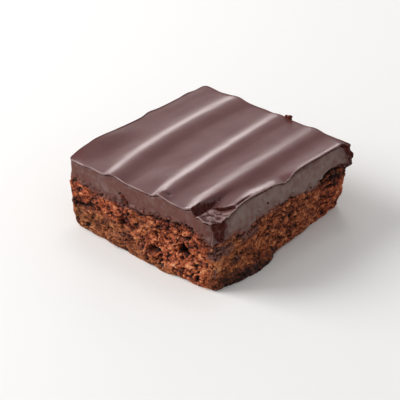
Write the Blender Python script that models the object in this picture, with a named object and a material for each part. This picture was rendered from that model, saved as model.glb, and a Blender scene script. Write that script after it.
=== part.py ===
"""A square of iced chocolate brownie, cut from a tray: a crumbly slab of cake under a thick coat of icing.

Metres, +Z up. The cake rests on z = 0 and the origin is under the middle of the whole outline. The cut faces
that look towards -Y and +X are the ones on show. The icing was drawn out along Y and kept three ridges.
"""

import bpy
import numpy as np

MM = 0.001

# The slab as it was cut
WIDTH = 76.2 * MM  # along X
DEPTH = 81.0 * MM  # along Y
ICING_LEVEL = 29.7 * MM  # top of the icing between its ridges
SEAM_LEVEL = 20.4 * MM  # where cake and icing meet on the sides
CORNER_RADIUS = 2.2 * MM  # of the upright corners
OUTLINE_CENTRE = (0.9 * MM, -1.3 * MM)  # middle of the whole outline, from the middle of the slab
SEAM_GAP = 0.3 * MM  # between the two solids
PERIMETER = 2 * (WIDTH + DEPTH)  # places along the outline run anticlockwise from the corner at -X, -Y

# How finely the solids are faceted
COLUMNS_X = 56
COLUMNS_Y = 44
CAKE_ROWS = 12
ICING_ROWS = 4
SHOULDER_SHARE = 0.93  # the hidden joint keeps the seam's height this far in, as a share of the outline
CORE_SHARE = 0.82  # and is flat from here to the middle

# Cake: the foot spreads at the front and right, and draws in at the back right and left
SIDE_POWER = 4  # a shift of one side fades with this power of the distance from the middle
FRONT_FOOT = {"shift": 3.1 * MM, "middle": 8.0 * MM, "half": 30.0 * MM, "height": 7.0 * MM}
RIGHT_LEDGE = {
    "shift": 4.2 * MM,
    "middle": -19.0 * MM,
    "half": 16.0 * MM,
    "height": 4.5 * MM,
    "start": -9.0 * MM,  # of its end
    "end": -3.0 * MM,
}
RIGHT_UNDERCUT = {"shift": 3.4 * MM, "start": -4.0 * MM, "end": 40.0 * MM}
BACK_SHOULDER = {"shift": 1.2 * MM, "start": 24.0 * MM, "end": 40.0 * MM, "height": 12.0 * MM}
LEFT_BULGE = {"shift": 1.0 * MM, "height": 18.0 * MM, "half": 7.0 * MM}
LEFT_TAPER = {"shift": 3.0 * MM, "height": 7.0 * MM}
FOOT_ROUNDING = 0.8 * MM
LUMP_LENGTH = 6.0 * MM  # broken crumb, longer than it is high
LUMP_HEIGHT = 3.6 * MM
LUMP_RISE = (0.3 * MM, 1.6 * MM)
LUMP_SEED = 7

# Holes and splits in the cake: place along the outline, height, half length, half height, depth
PITS = (
    (60.0 * MM, 12.2 * MM, 3.2 * MM, 2.6 * MM, 3.4 * MM),
    (60.5 * MM, 17.6 * MM, 5.4 * MM, 1.9 * MM, 1.4 * MM),
    (28.5 * MM, 12.2 * MM, 6.0 * MM, 2.6 * MM, 1.4 * MM),
    (46.0 * MM, 6.8 * MM, 3.8 * MM, 2.4 * MM, 1.5 * MM),
    (6.0 * MM, 10.8 * MM, 3.6 * MM, 2.4 * MM, 1.4 * MM),
    (145.0 * MM, 18.8 * MM, 4.0 * MM, 2.6 * MM, 2.2 * MM),
)
PIT_WALL = (0.35, 1.15)  # a hole's wall, in shares of its half sizes from its middle

# The seam's rise and fall: place along the outline, half length, rise
SEAM_SWELLS = (
    (2.0 * MM, 6.0 * MM, 0.9 * MM),
    (20.0 * MM, 9.0 * MM, -1.6 * MM),
    (37.0 * MM, 8.0 * MM, -0.8 * MM),
    (61.0 * MM, 9.0 * MM, 2.9 * MM),
    (74.0 * MM, 4.5 * MM, -2.2 * MM),
    (93.7 * MM, 3.5 * MM, -2.4 * MM),
    (107.0 * MM, 8.0 * MM, 0.9 * MM),
    (136.0 * MM, 5.0 * MM, -2.8 * MM),
    (149.0 * MM, 6.5 * MM, 2.0 * MM),
    (156.6 * MM, 2.4 * MM, -2.6 * MM),
    (176.0 * MM, 10.0 * MM, -1.3 * MM),
    (202.0 * MM, 13.0 * MM, 1.1 * MM),
    (252.0 * MM, 12.0 * MM, 1.0 * MM),
    (276.0 * MM, 9.0 * MM, -1.4 * MM),
)

# Icing ridges: steepest line at mid depth, its slope and bow (per metre) along Y, how far its front end hooks
# to +X, width of the rise, width of the fall in front and at the back, height in front and at the back. The
# third is a terrace: it rises with the second and falls beyond the last.
RIDGES = (
    (-22.7 * MM, -0.067, 1.6, 0.2 * MM, 2.7 * MM, 7.6 * MM, 9.0 * MM, 1.4 * MM, 1.15 * MM),
    (2.85 * MM, -0.079, 0.4, 0.9 * MM, 2.6 * MM, 6.0 * MM, 6.2 * MM, 1.0 * MM, 0.68 * MM),
    (2.85 * MM, -0.079, 0.4, 0.9 * MM, 2.6 * MM, 25.0 * MM, 25.0 * MM, 0.85 * MM, 0.3 * MM),
    (20.6 * MM, -0.055, 0.3, 1.3 * MM, 3.3 * MM, 7.0 * MM, 6.8 * MM, 1.75 * MM, 0.95 * MM),
)
FRONT_HOOK = 6.0 * MM  # length of a hooked front end
FRONT_LIFT = {"higher": 0.1, "narrower": 0.45}
CLIFF = {
    "x": 25.5 * MM,
    "width": 2.3 * MM,
    "wider": 1.7 * MM,  # at its front end
    "narrow_from": -39.5 * MM,
    "narrow_to": -35.5 * MM,
    "front": -33.0 * MM,
    "back": -17.0 * MM,
}
GROOVE = {"x": 28.2 * MM, "half": 1.6 * MM, "front": -37.0 * MM, "back": -8.0 * MM, "depth": 1.0 * MM}

# Icing edges
RIGHT_RIM = {
    "rise": 0.8 * MM,
    "x": 37.2 * MM,
    "half": 3.4 * MM,
    "swell": 0.6 * MM,  # it rises more and spreads inwards here
    "swell_y": -17.0 * MM,
    "swell_half": 9.0 * MM,
    "wider": 0.9 * MM,
    "front_share": 0.5,  # of its rise that it keeps at its front end
    "front": -32.0 * MM,
    "back": -22.0 * MM,
    "broader": 2.4 * MM,  # behind the pinch
    "broad_from": -2.0 * MM,
    "broad_to": 12.0 * MM,
    "edge": 0.36 * MM,  # a narrow rise of its own there
    "edge_half": 1.8 * MM,
    "edge_from": 4.0 * MM,
    "edge_to": 16.0 * MM,
}
RIM_END = (36.5 * MM, 40.5 * MM)  # where the rim falls off at the back
RIM_PINCH = {"middle": 1.8 * MM, "half": 4.2 * MM, "reach": 3.2 * MM, "drop": 1.0 * MM, "lean": 0.5}
LEFT_RIM = {"rise": 1.4 * MM, "half": 6.0 * MM, "y": -24.0 * MM, "half_y": 14.0 * MM, "everywhere": 0.35 * MM}
LEFT_CORNER = {"half": 5.0 * MM, "drop": 1.1 * MM}  # the front left one
# The right wall's top leans in, and further towards the back
RIGHT_LEAN = {"shift": 1.7 * MM, "further": 0.4 * MM, "from": 8.0 * MM, "to": 24.0 * MM}
LIP_REACH = 0.35 * MM
LIP_FROM = 0.75  # share of the wall's height where the lip begins
EDGE_DROP = 0.35 * MM
CRUMBED_SHARE = 0.4  # of the wall's height, where it is still flush with the crumb below
BACK_OVERHANG = {"start": 22.0 * MM, "higher": 15.6 * MM, "end": 40.2 * MM, "shift": 2.6 * MM}
LEFT_WAVES = (
    (8.0 * MM, 4.0 * MM, 1.2 * MM),
    (28.0 * MM, 7.0 * MM, 0.4 * MM),
)
CORNER_LOSS = {"half": 3.8 * MM, "reach": 1.7 * MM, "low_share": 0.4, "full_from": 0.65}

# The front right corner, where icing tore away: the tear's edge, closed beyond the corner
TEAR_EDGE = (
    (26.6 * MM, -46.0 * MM),
    (26.8 * MM, -38.6 * MM),
    (27.4 * MM, -34.2 * MM),
    (28.4 * MM, -32.4 * MM),
    (30.7 * MM, -31.0 * MM),
    (33.2 * MM, -29.2 * MM),
    (34.6 * MM, -27.0 * MM),
    (36.0 * MM, -26.2 * MM),
    (38.0 * MM, -27.6 * MM),
    (46.0 * MM, -30.0 * MM),
    (46.0 * MM, -46.0 * MM),
)
TEAR_SLOPE = (-0.1 * MM, 0.9 * MM)  # how far inside that edge the tear starts and is at its full depth
TORN_STRIP = {"x": 35.9 * MM, "width": 0.8 * MM, "front": -31.0 * MM, "back": -18.5 * MM}  # fades along Y
TORN_FLOOR = {
    "level": 28.25 * MM,
    "x": 34.7 * MM,
    "rise_x": 0.22,  # towards -X
    "y": -31.0 * MM,
    "rise_y": 0.28,  # towards +Y
    "heaped": 0.45 * MM,
    "heap": 2.6 * MM,  # how far inside the tear's edge
    "heap_half": 1.7 * MM,
}
TORN_CORNER = {"x": 37.3 * MM, "y": -39.8 * MM, "half": 3.6 * MM, "drop": 1.6 * MM}

# Finishes: sRGB colour as seen, roughness
SHARP_ANGLE = np.radians(50)
CAKE_FINISH = ("7A432C", 0.85)
ICING_FINISH = ("5E4244", 0.35)


def bell(value, middle, half):
    """One at the middle, falling to 1/e a half width away."""
    return np.exp(-(((value - middle) / half) ** 2))


def ramp(value, start, end):
    """Nought before start, one after end and a smooth S between."""
    t = np.clip((value - start) / (end - start), 0, 1)
    return t * t * (3 - 2 * t)


def around(along, place):
    """Signed distance along the outline from a place, the short way round."""
    return (along - place + PERIMETER / 2) % PERIMETER - PERIMETER / 2


def outline():
    """Points of the rounded rectangle, their outward normals and their places along it.

    Points are spaced evenly on a plain rectangle. Each is then pulled onto the rounding: the nearest point of
    the rectangle shrunk by the radius, plus the radius times the direction from there.
    """
    left_to_right = np.arange(COLUMNS_X) / COLUMNS_X
    front_to_back = np.arange(COLUMNS_Y) / COLUMNS_Y
    corner = np.array((WIDTH, DEPTH)) / 2
    x = np.concatenate([
        -corner[0] + WIDTH * left_to_right,
        np.full(COLUMNS_Y, corner[0]),
        corner[0] - WIDTH * left_to_right,
        np.full(COLUMNS_Y, -corner[0]),
    ])
    y = np.concatenate([
        np.full(COLUMNS_X, -corner[1]),
        -corner[1] + DEPTH * front_to_back,
        np.full(COLUMNS_X, corner[1]),
        corner[1] - DEPTH * front_to_back,
    ])
    along = np.concatenate([
        WIDTH * left_to_right,
        WIDTH + DEPTH * front_to_back,
        WIDTH + DEPTH + WIDTH * left_to_right,
        2 * WIDTH + DEPTH + DEPTH * front_to_back,
    ])
    points = np.stack([x, y], axis=1)
    core = np.clip(points, -(corner - CORNER_RADIUS), corner - CORNER_RADIUS)
    normals = (points - core) / np.linalg.norm(points - core, axis=1, keepdims=True)
    return core + CORNER_RADIUS * normals, normals, along


def seam_height(along):
    """Top of the cake where it meets the icing: a level plus a row of bells along the outline."""
    height = np.full_like(along, SEAM_LEVEL)
    for place, half, rise in SEAM_SWELLS:
        height += rise * bell(around(along, place), 0, half)
    return height


def lumps(along, height):
    """Broken crumb on the unrolled sides: paraboloids on a jittered grid, of which the highest one shows."""
    cells = round(PERIMETER / LUMP_LENGTH)
    levels = round(ICING_LEVEL / LUMP_HEIGHT) + 3
    draw = np.random.default_rng(LUMP_SEED)
    jitter = draw.uniform(0.1, 0.9, (cells, levels, 2))
    rise = draw.uniform(*LUMP_RISE, (cells, levels))
    u = along / PERIMETER * cells
    v = height / LUMP_HEIGHT + 1
    highest = np.zeros_like(u)
    for step_u in (-1, 0, 1):
        for step_v in (-1, 0, 1):
            i = np.floor(u).astype(int) + step_u
            j = np.floor(v).astype(int) + step_v
            centre = jitter[i % cells, j % levels]
            distance = (i + centre[..., 0] - u) ** 2 + (j + centre[..., 1] - v) ** 2
            highest = np.maximum(highest, rise[i % cells, j % levels] * (1 - distance))
    return highest - LUMP_RISE[1] / 2


def pits(along, height):
    """Depth of the holes: each is a flat-bottomed bell over an ellipse on the unrolled sides."""
    depth = np.zeros_like(along)
    for place, level, half_length, half_height, deepest in PITS:
        distance = np.hypot(around(along, place) / half_length, (height - level) / half_height)
        depth = np.maximum(depth, deepest * (1 - ramp(distance, *PIT_WALL)))
    return depth


def sides(x, y):
    """How much a point belongs to the right, left and front side: one on it, less towards the middle."""
    right = np.clip(2 * x / WIDTH, 0, 1) ** SIDE_POWER
    left = np.clip(-2 * x / WIDTH, 0, 1) ** SIDE_POWER
    front = np.clip(-2 * y / DEPTH, 0, 1) ** SIDE_POWER
    return right, left, front


def cake_side(edge, height, normals, along):
    """The cake's outline at a height: sides shifted for its foot and undercuts, then crumb and holes along
    the normals."""
    x, y = edge.T
    right, left, front = sides(x, y)
    foot = FRONT_FOOT["shift"] * bell(x, FRONT_FOOT["middle"], FRONT_FOOT["half"])
    foot = foot * bell(height, 0, FRONT_FOOT["height"])
    ledge = RIGHT_LEDGE["shift"] * bell(y, RIGHT_LEDGE["middle"], RIGHT_LEDGE["half"])
    ledge = ledge * bell(height, 0, RIGHT_LEDGE["height"])
    ledge = ledge * (1 - ramp(y, RIGHT_LEDGE["start"], RIGHT_LEDGE["end"]))
    undercut = RIGHT_UNDERCUT["shift"] * ramp(y, RIGHT_UNDERCUT["start"], RIGHT_UNDERCUT["end"])
    undercut = undercut * (1 - ramp(height, 0, SEAM_LEVEL) / 2)
    shoulder = BACK_SHOULDER["shift"] * ramp(y, BACK_SHOULDER["start"], BACK_SHOULDER["end"])
    shoulder = shoulder * ramp(height, 0, BACK_SHOULDER["height"])
    bulge = LEFT_BULGE["shift"] * bell(height, LEFT_BULGE["height"], LEFT_BULGE["half"])
    taper = LEFT_TAPER["shift"] * bell(height, 0, LEFT_TAPER["height"])
    shift_x = (ledge - undercut + shoulder) * right + (taper - bulge) * left
    shift = np.column_stack([shift_x, -foot * front])
    rounding = FOOT_ROUNDING * (1 - ramp(height, 0, 2 * FOOT_ROUNDING))
    reach = lumps(along, height) - pits(along, height) - rounding
    return edge + shift + normals * reach[:, None]


def ridges(x, y):
    """Height of the ridges: each rises towards +X as a hyperbolic tangent and falls off again as e to the
    minus cube of the distance. Their front ends are higher and steeper; the last one ends in a cliff."""
    height = np.zeros_like(x)
    share = (y + DEPTH / 2) / DEPTH
    lifted = bell(y, -DEPTH / 2, FRONT_HOOK)
    for middle, slope, bow, hooked, rise_width, fall_front, fall_back, front, back in RIDGES:
        offset = x - (middle + slope * y + bow * y**2 + hooked * lifted)
        rising = (1 + np.tanh(offset / (rise_width * (1 - FRONT_LIFT["narrower"] * lifted)))) / 2
        fall_width = fall_front + (fall_back - fall_front) * share
        falling = np.exp(-((np.maximum(offset, 0) / fall_width) ** 3))
        height += (front + (back - front) * share) * (1 + FRONT_LIFT["higher"] * lifted) * rising * falling
    width = CLIFF["width"] + CLIFF["wider"] * (1 - ramp(y, CLIFF["narrow_from"], CLIFF["narrow_to"]))
    cliff = ramp(x, CLIFF["x"], CLIFF["x"] + width) * (1 - ramp(y, CLIFF["front"], CLIFF["back"]))
    return height * (1 - cliff)


def right_rim(x, y):
    """Height of the rim along the right edge: swollen, lower towards the front and pinched in one place."""
    swell = bell(y, RIGHT_RIM["swell_y"], RIGHT_RIM["swell_half"])
    broad = ramp(y, RIGHT_RIM["broad_from"], RIGHT_RIM["broad_to"])
    half = RIGHT_RIM["half"] + RIGHT_RIM["wider"] * swell + RIGHT_RIM["broader"] * broad
    rim = bell(x, RIGHT_RIM["x"], half)
    kept = ramp(y, RIGHT_RIM["front"], RIGHT_RIM["back"])
    rim = rim * (RIGHT_RIM["rise"] + RIGHT_RIM["swell"] * swell)
    rim = rim * (RIGHT_RIM["front_share"] + (1 - RIGHT_RIM["front_share"]) * kept)
    edge = RIGHT_RIM["edge"] * bell(x, RIGHT_RIM["x"], RIGHT_RIM["edge_half"])
    edge = edge * ramp(y, RIGHT_RIM["edge_from"], RIGHT_RIM["edge_to"])
    rim = (rim + edge) * (1 - ramp(y, *RIM_END))
    pinch = bell(y, RIM_PINCH["middle"], RIM_PINCH["half"]) * bell(x, WIDTH / 2, RIM_PINCH["reach"])
    return rim - RIM_PINCH["drop"] * pinch


def into_tear(x, y):
    """How far a point lies inside the torn corner, negative outside it: its distance to the tear's edge,
    whose sign comes from how often a line towards +X crosses that edge."""
    nearest = np.full(x.shape, WIDTH)
    inside = np.zeros(x.shape, bool)
    for (x0, y0), (x1, y1) in zip(TEAR_EDGE, TEAR_EDGE[1:] + TEAR_EDGE[:1]):
        run, rise = x1 - x0, y1 - y0
        t = np.clip(((x - x0) * run + (y - y0) * rise) / (run**2 + rise**2), 0, 1)
        nearest = np.minimum(nearest, np.hypot(x - x0 - t * run, y - y0 - t * rise))
        before = ((x - x0) * rise < (y - y0) * run) == (rise > 0)
        inside ^= ((y0 > y) != (y1 > y)) & before
    return np.where(inside, nearest, -nearest)


def torn_floor(x, y, inwards):
    """Height of the torn corner's floor: it falls towards the corner, heaped against the tear's edge."""
    level = TORN_FLOOR["level"] + TORN_FLOOR["rise_x"] * np.clip(TORN_FLOOR["x"] - x, 0, None)
    level = level + TORN_FLOOR["rise_y"] * np.clip(y - TORN_FLOOR["y"], 0, None)
    heaped = bell(inwards, TORN_FLOOR["heap"], TORN_FLOOR["heap_half"])
    from_corner = np.hypot(x - TORN_CORNER["x"], y - TORN_CORNER["y"])
    worn = TORN_CORNER["drop"] * bell(from_corner, 0, TORN_CORNER["half"])
    return level + TORN_FLOOR["heaped"] * heaped - worn


def icing_top(x, y):
    """Height of the icing's top: ridges, a groove beside the last one, raised rims and the torn corner."""
    groove = GROOVE["depth"] * bell(x, GROOVE["x"], GROOVE["half"])
    groove = groove * (1 - ramp(y, GROOVE["front"], GROOVE["back"]))
    left = LEFT_RIM["everywhere"] + LEFT_RIM["rise"] * bell(y, LEFT_RIM["y"], LEFT_RIM["half_y"])
    left = left * bell(x, -WIDTH / 2, LEFT_RIM["half"])
    left -= LEFT_CORNER["drop"] * bell(np.hypot(x + WIDTH / 2, y + DEPTH / 2), 0, LEFT_CORNER["half"])
    whole = ICING_LEVEL + ridges(x, y) - groove + right_rim(x, y) + left
    inwards = into_tear(x, y)
    strip = ramp(x, TORN_STRIP["x"], TORN_STRIP["x"] + TORN_STRIP["width"])
    along_strip = 1 - ramp(y, TORN_STRIP["front"], TORN_STRIP["back"])
    torn = ramp(inwards, *TEAR_SLOPE) * (1 - strip) + along_strip * strip
    return whole * (1 - torn) + np.minimum(torn_floor(x, y, inwards), whole) * torn


def icing_side(edge, share, normals, along):
    """The icing's outline at a share of its height: a leaning right wall, a wavy left one, an overhang at the
    back right, a worn front right corner and a thin lip at the top."""
    x, y = edge.T
    right, left, _ = sides(x, y)
    lean = RIGHT_LEAN["shift"] + RIGHT_LEAN["further"] * ramp(y, RIGHT_LEAN["from"], RIGHT_LEAN["to"])
    lean = lean * (1 - RIM_PINCH["lean"] * bell(y, RIM_PINCH["middle"], RIM_PINCH["half"]))
    start = BACK_OVERHANG["start"] + BACK_OVERHANG["higher"] * share
    overhang = BACK_OVERHANG["shift"] * ramp(y, start, BACK_OVERHANG["end"])
    waves = sum(wave * bell(y, middle, half) for middle, half, wave in LEFT_WAVES)
    shift = np.column_stack([(overhang - lean * share**2) * right - waves * left, np.zeros_like(y)])
    worn = CORNER_LOSS["reach"] * bell(around(along, WIDTH), 0, CORNER_LOSS["half"])
    kept = (1 - CORNER_LOSS["low_share"]) * (1 - ramp(share, 0, CORNER_LOSS["full_from"]))
    reach = LIP_REACH * ramp(share, LIP_FROM, 1.0) - worn * (1 - kept)
    return edge + shift + normals * reach[:, None]


def wall_faces(first, rings, columns):
    """Quads between rings of points stacked from the bottom up, facing outwards."""
    index = first + np.arange(rings * columns).reshape(rings, columns)
    after = np.roll(index, -1, axis=1)
    quads = np.stack([index[:-1], after[:-1], after[1:], index[1:]], axis=-1)
    return quads.reshape(-1, 4).tolist()


def joint_faces(wide, narrow, columns):
    """Triangles facing up between a wide and a narrow ring, split alike in both solids: their gap is even."""
    here = np.arange(columns)
    after = np.roll(here, -1)
    outer = np.stack([wide + here, wide + after, narrow + after], axis=1)
    inner = np.stack([wide + here, narrow + after, narrow + here], axis=1)
    return np.concatenate([outer, inner])


def joint_rings(edge, seam, level):
    """The hidden joint: a ring that keeps the seam's height, and a flat one further in."""
    shoulder = np.column_stack([edge * SHOULDER_SHARE, seam])
    core = np.column_stack([edge * CORE_SHARE, np.full(len(edge), level)])
    return shoulder, core


def make_object(name, points, faces, finish):
    """A smooth-shaded mesh object with its own Principled material, moved so the outline is centred."""
    colour, roughness = finish
    srgb = np.array([int(colour[i : i + 2], 16) / 255 for i in (0, 2, 4)])
    linear = np.where(srgb <= 0.04045, srgb / 12.92, ((srgb + 0.055) / 1.055) ** 2.4)
    material = bpy.data.materials.new(name)
    material.use_nodes = True
    shader = material.node_tree.nodes["Principled BSDF"]
    shader.inputs["Base Color"].default_value = (*linear, 1)
    shader.inputs["Roughness"].default_value = roughness
    points = points - np.array((*OUTLINE_CENTRE, 0))
    mesh = bpy.data.meshes.new(name)
    mesh.from_pydata(points.tolist(), [], [list(face) for face in faces])
    mesh.materials.append(material)
    mesh.validate()
    mesh.shade_smooth()
    mesh.set_sharp_from_angle(angle=SHARP_ANGLE)
    thing = bpy.data.objects.new(name, mesh)
    bpy.context.scene.collection.objects.link(thing)
    return thing


def make_cake():
    """Rings up the side from a flat bottom, then the joint's two rings and a flat top under the icing."""
    edge, normals, along = outline()
    columns = len(along)
    seam = seam_height(along)
    rings = []
    for row in range(CAKE_ROWS + 1):
        height = seam * row / CAKE_ROWS
        rings.append(np.column_stack([cake_side(edge, height, normals, along), height]))
    rings += joint_rings(edge, seam, SEAM_LEVEL)
    brim, shoulder, core = (columns * row for row in range(CAKE_ROWS, CAKE_ROWS + 3))
    faces = wall_faces(0, CAKE_ROWS + 1, columns)
    faces += joint_faces(brim, shoulder, columns).tolist()
    faces += joint_faces(shoulder, core, columns).tolist()
    faces.append(list(range(columns))[::-1])
    faces.append(list(range(core, core + columns)))
    return make_object("cake", np.concatenate(rings), faces, CAKE_FINISH)


def top_grid(edge):
    """Points filling a closed edge: each blends the four sides of the edge, less the four corners."""
    front = edge[: COLUMNS_X + 1]
    right = edge[COLUMNS_X : COLUMNS_X + COLUMNS_Y + 1]
    back = edge[COLUMNS_X + COLUMNS_Y : 2 * COLUMNS_X + COLUMNS_Y + 1][::-1]
    left = np.concatenate([edge[2 * COLUMNS_X + COLUMNS_Y :], edge[:1]])[::-1]
    u = np.linspace(0, 1, COLUMNS_X + 1)[None, :, None]
    v = np.linspace(0, 1, COLUMNS_Y + 1)[:, None, None]
    between_ends = (1 - v) * front[None] + v * back[None] + (1 - u) * left[:, None] + u * right[:, None]
    front_corners = (1 - v) * ((1 - u) * front[0] + u * front[-1])
    back_corners = v * ((1 - u) * back[0] + u * back[-1])
    return between_ends - front_corners - back_corners


def make_icing():
    """A flat underside, the joint's two rings out to the seam, rings up the side and a grid over the top."""
    edge, normals, along = outline()
    columns = len(along)
    seam = seam_height(along) + SEAM_GAP
    shoulder, core = joint_rings(edge, seam, SEAM_LEVEL + SEAM_GAP)
    rim = icing_side(edge, 1.0, normals, along)
    brim = icing_top(rim[:, 0], rim[:, 1]) - EDGE_DROP
    flush = cake_side(edge, seam - SEAM_GAP, normals, along)
    rings = [core, shoulder]
    for row in range(ICING_ROWS + 1):
        share = row / ICING_ROWS
        own = ramp(share, 0, CRUMBED_SHARE)
        outline_here = icing_side(edge, share, normals, along) * own + flush * (1 - own)
        height = seam + (brim - seam) * share
        rings.append(np.column_stack([outline_here, height]))
    side = np.concatenate(rings)
    faces = [list(range(columns))[::-1]]
    faces += joint_faces(columns, 0, columns)[:, ::-1].tolist()
    faces += joint_faces(2 * columns, columns, columns)[:, ::-1].tolist()
    faces += wall_faces(2 * columns, ICING_ROWS + 1, columns)
    grid = top_grid(rim)
    inner = grid[1:-1, 1:-1].reshape(-1, 2)
    top = np.column_stack([inner, icing_top(inner[:, 0], inner[:, 1])])
    index = np.empty(grid.shape[:2], int)
    index[1:-1, 1:-1] = len(side) + np.arange(len(inner)).reshape(COLUMNS_Y - 1, COLUMNS_X - 1)
    brim_index = len(side) - columns + np.arange(columns)
    index[0, :] = brim_index[: COLUMNS_X + 1]
    index[:, -1] = brim_index[COLUMNS_X : COLUMNS_X + COLUMNS_Y + 1]
    index[-1, ::-1] = brim_index[COLUMNS_X + COLUMNS_Y : 2 * COLUMNS_X + COLUMNS_Y + 1]
    index[1:, 0] = brim_index[2 * COLUMNS_X + COLUMNS_Y :][::-1]
    cells = np.stack([index[:-1, :-1], index[:-1, 1:], index[1:, 1:], index[1:, :-1]], axis=-1)
    faces += cells.reshape(-1, 4).tolist()
    return make_object("icing", np.concatenate([side, top]), faces, ICING_FINISH)


def main():
    for thing in list(bpy.data.objects):
        bpy.data.objects.remove(thing)
    make_cake()
    make_icing()


main()
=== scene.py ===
"""A square of iced chocolate brownie: open cake crumb, a thick coat of set icing, a few crumbs and a studio.

The frame is in metres, +Z up. Shapes are worked out in millimetres on the slab as it was cut, whose middle lies
OUTLINE_CENTRE from the middle of the finished outline, and are moved and turned to metres as a mesh is made.
"""

from itertools import product

import bpy
import numpy as np
from bpy.props import FloatProperty, FloatVectorProperty, IntProperty, PointerProperty
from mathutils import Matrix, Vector


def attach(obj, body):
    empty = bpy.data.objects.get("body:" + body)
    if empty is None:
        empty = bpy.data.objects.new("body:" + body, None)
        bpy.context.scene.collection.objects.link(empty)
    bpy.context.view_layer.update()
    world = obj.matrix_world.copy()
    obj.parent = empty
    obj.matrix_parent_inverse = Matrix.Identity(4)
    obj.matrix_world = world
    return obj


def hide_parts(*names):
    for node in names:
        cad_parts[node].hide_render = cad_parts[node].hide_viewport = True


bl_info = {
    "name": "Iced Brownie",
    "version": (1, 0, 0),
    "blender": (4, 5, 0),
    "location": "View3D > Sidebar > Brownie",
    "description": "Bakes and ices a square of chocolate brownie and lights it in a plain studio",
    "category": "Add Mesh",
}

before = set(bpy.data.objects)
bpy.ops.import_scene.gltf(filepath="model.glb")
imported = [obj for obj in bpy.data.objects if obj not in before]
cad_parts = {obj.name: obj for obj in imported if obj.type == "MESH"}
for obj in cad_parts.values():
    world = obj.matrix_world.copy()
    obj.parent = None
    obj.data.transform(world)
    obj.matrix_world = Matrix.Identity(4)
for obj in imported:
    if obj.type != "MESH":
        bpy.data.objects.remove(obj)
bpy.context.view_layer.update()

MM = 0.001

# The slab as it was cut
WIDTH = 76.2  # along X
DEPTH = 81.0  # along Y
ICING_LEVEL = 29.7  # top of the icing between its ridges
SEAM_LEVEL = 20.4  # where cake and icing meet on the sides
CORNER_RADIUS = 2.2
OUTLINE_CENTRE = (0.9, -1.3)
PERIMETER = 2 * (WIDTH + DEPTH)  # places along the outline run anticlockwise from the corner at -X, -Y

# How finely the surfaces are meshed
COLUMNS_X = 240
COLUMNS_Y = 256
CAKE_ROWS = 90
ICING_ROWS = 32
END_PACKING = 2.0  # columns stand this much closer at the ends of a side
END_REACH = 1.2
CORNER_PACKING = 0.9  # and towards the torn corner
CORNER_REACH = 13.0
LIP_PACKING = 1.25  # rows of the icing's wall crowd towards its lip
JOINT_GAP = 0.3  # between cake and icing inside the piece
SHOULDER_SHARE = 0.93
CORE_SHARE = 0.82

# Cake: the foot spreads at the front and right, and draws in at the back right and left
SIDE_POWER = 4
FRONT_FOOT = {"shift": 3.1, "middle": 8.0, "half": 30.0, "height": 7.0}
RIGHT_LEDGE = {"shift": 4.2, "middle": -19.0, "half": 16.0, "height": 4.5, "start": -9.0, "end": -3.0}
RIGHT_UNDERCUT = {"shift": 3.4, "start": -4.0, "end": 40.0}
BACK_SHOULDER = {"shift": 1.2, "start": 24.0, "end": 40.0, "height": 12.0}
LEFT_BULGE = {"shift": 1.0, "height": 18.0, "half": 7.0}
LEFT_TAPER = {"shift": 3.0, "height": 7.0}
FOOT_ROUNDING = 0.8
LUMP_LENGTH = 6.0
LUMP_HEIGHT = 3.6
LUMP_RISE = (0.3, 1.6)
LUMP_SEED = 7

# Holes and splits: place along the outline, height, half length, half height, depth, rise to the right
PITS = (
    (60.0, 12.2, 3.3, 2.4, 4.2, 0.0),
    (64.5, 11.3, 3.4, 1.0, 2.2, -0.1),
    (59.5, 17.4, 5.0, 0.8, 2.0, 0.28),
    (56.5, 21.6, 2.8, 0.7, 1.4, 0.1),
    (28.5, 12.2, 3.0, 1.4, 2.2, -0.25),
    (33.5, 11.2, 2.4, 1.0, 1.9, -0.2),
    (46.0, 6.8, 3.2, 1.5, 1.8, 0.0),
    (6.0, 10.8, 3.4, 1.3, 1.7, 0.1),
    (58.0, 2.8, 2.0, 0.8, 1.3, 0.0),
    (20.0, 4.6, 1.4, 0.6, 1.2, 0.0),
    (145.0, 20.6, 4.2, 1.5, 2.6, 0.25),
    (141.0, 17.0, 1.6, 0.6, 1.3, 0.6),
    (151.6, 21.4, 2.4, 1.2, 2.4, 0.1),
    (148.6, 17.6, 2.6, 0.7, 1.6, 0.5),
    (153.0, 16.6, 1.2, 1.5, 1.5, 0.0),
    (121.0, 13.0, 1.0, 1.6, 1.3, 0.0),
    (104.0, 12.4, 1.8, 0.6, 1.3, 0.5),
    (172.0, 9.0, 3.6, 1.2, 2.0, 0.1),
    (205.0, 14.0, 3.0, 1.6, 2.4, -0.2),
    (262.0, 8.0, 4.0, 1.1, 2.0, 0.1),
    (291.0, 14.5, 3.2, 1.5, 2.2, 0.0),
)

# The seam's rise and fall: place along the outline, half length, rise
SEAM_SWELLS = (
    (2.0, 6.0, 0.9),
    (20.0, 9.0, -1.6),
    (37.0, 8.0, -0.8),
    (61.0, 9.0, 2.9),
    (74.0, 4.5, -2.2),
    (93.7, 3.5, -2.4),
    (107.0, 8.0, 0.9),
    (136.0, 5.0, -2.8),
    (149.0, 6.5, 2.0),
    (156.6, 2.4, -2.6),
    (176.0, 10.0, -1.3),
    (202.0, 13.0, 1.1),
    (252.0, 12.0, 1.0),
    (276.0, 9.0, -1.4),
)
SEAM_RAGGED = ((3.4, 0.55, 31), (1.3, 0.3, 32))  # size, rise and seed of the seam's small waves

# Icing smeared over the crumb: place along the outline, height, half length, half height, share
SMEARS = (
    (79.0, 15.2, 6.5, 3.4, 1.7),
    (76.6, 9.0, 2.0, 7.0, 0.6),
    (88.5, 8.6, 4.0, 1.8, 0.8),
    (95.0, 17.0, 5.5, 2.6, 1.3),
    (92.0, 2.2, 14.0, 2.2, 0.7),
)

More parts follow.
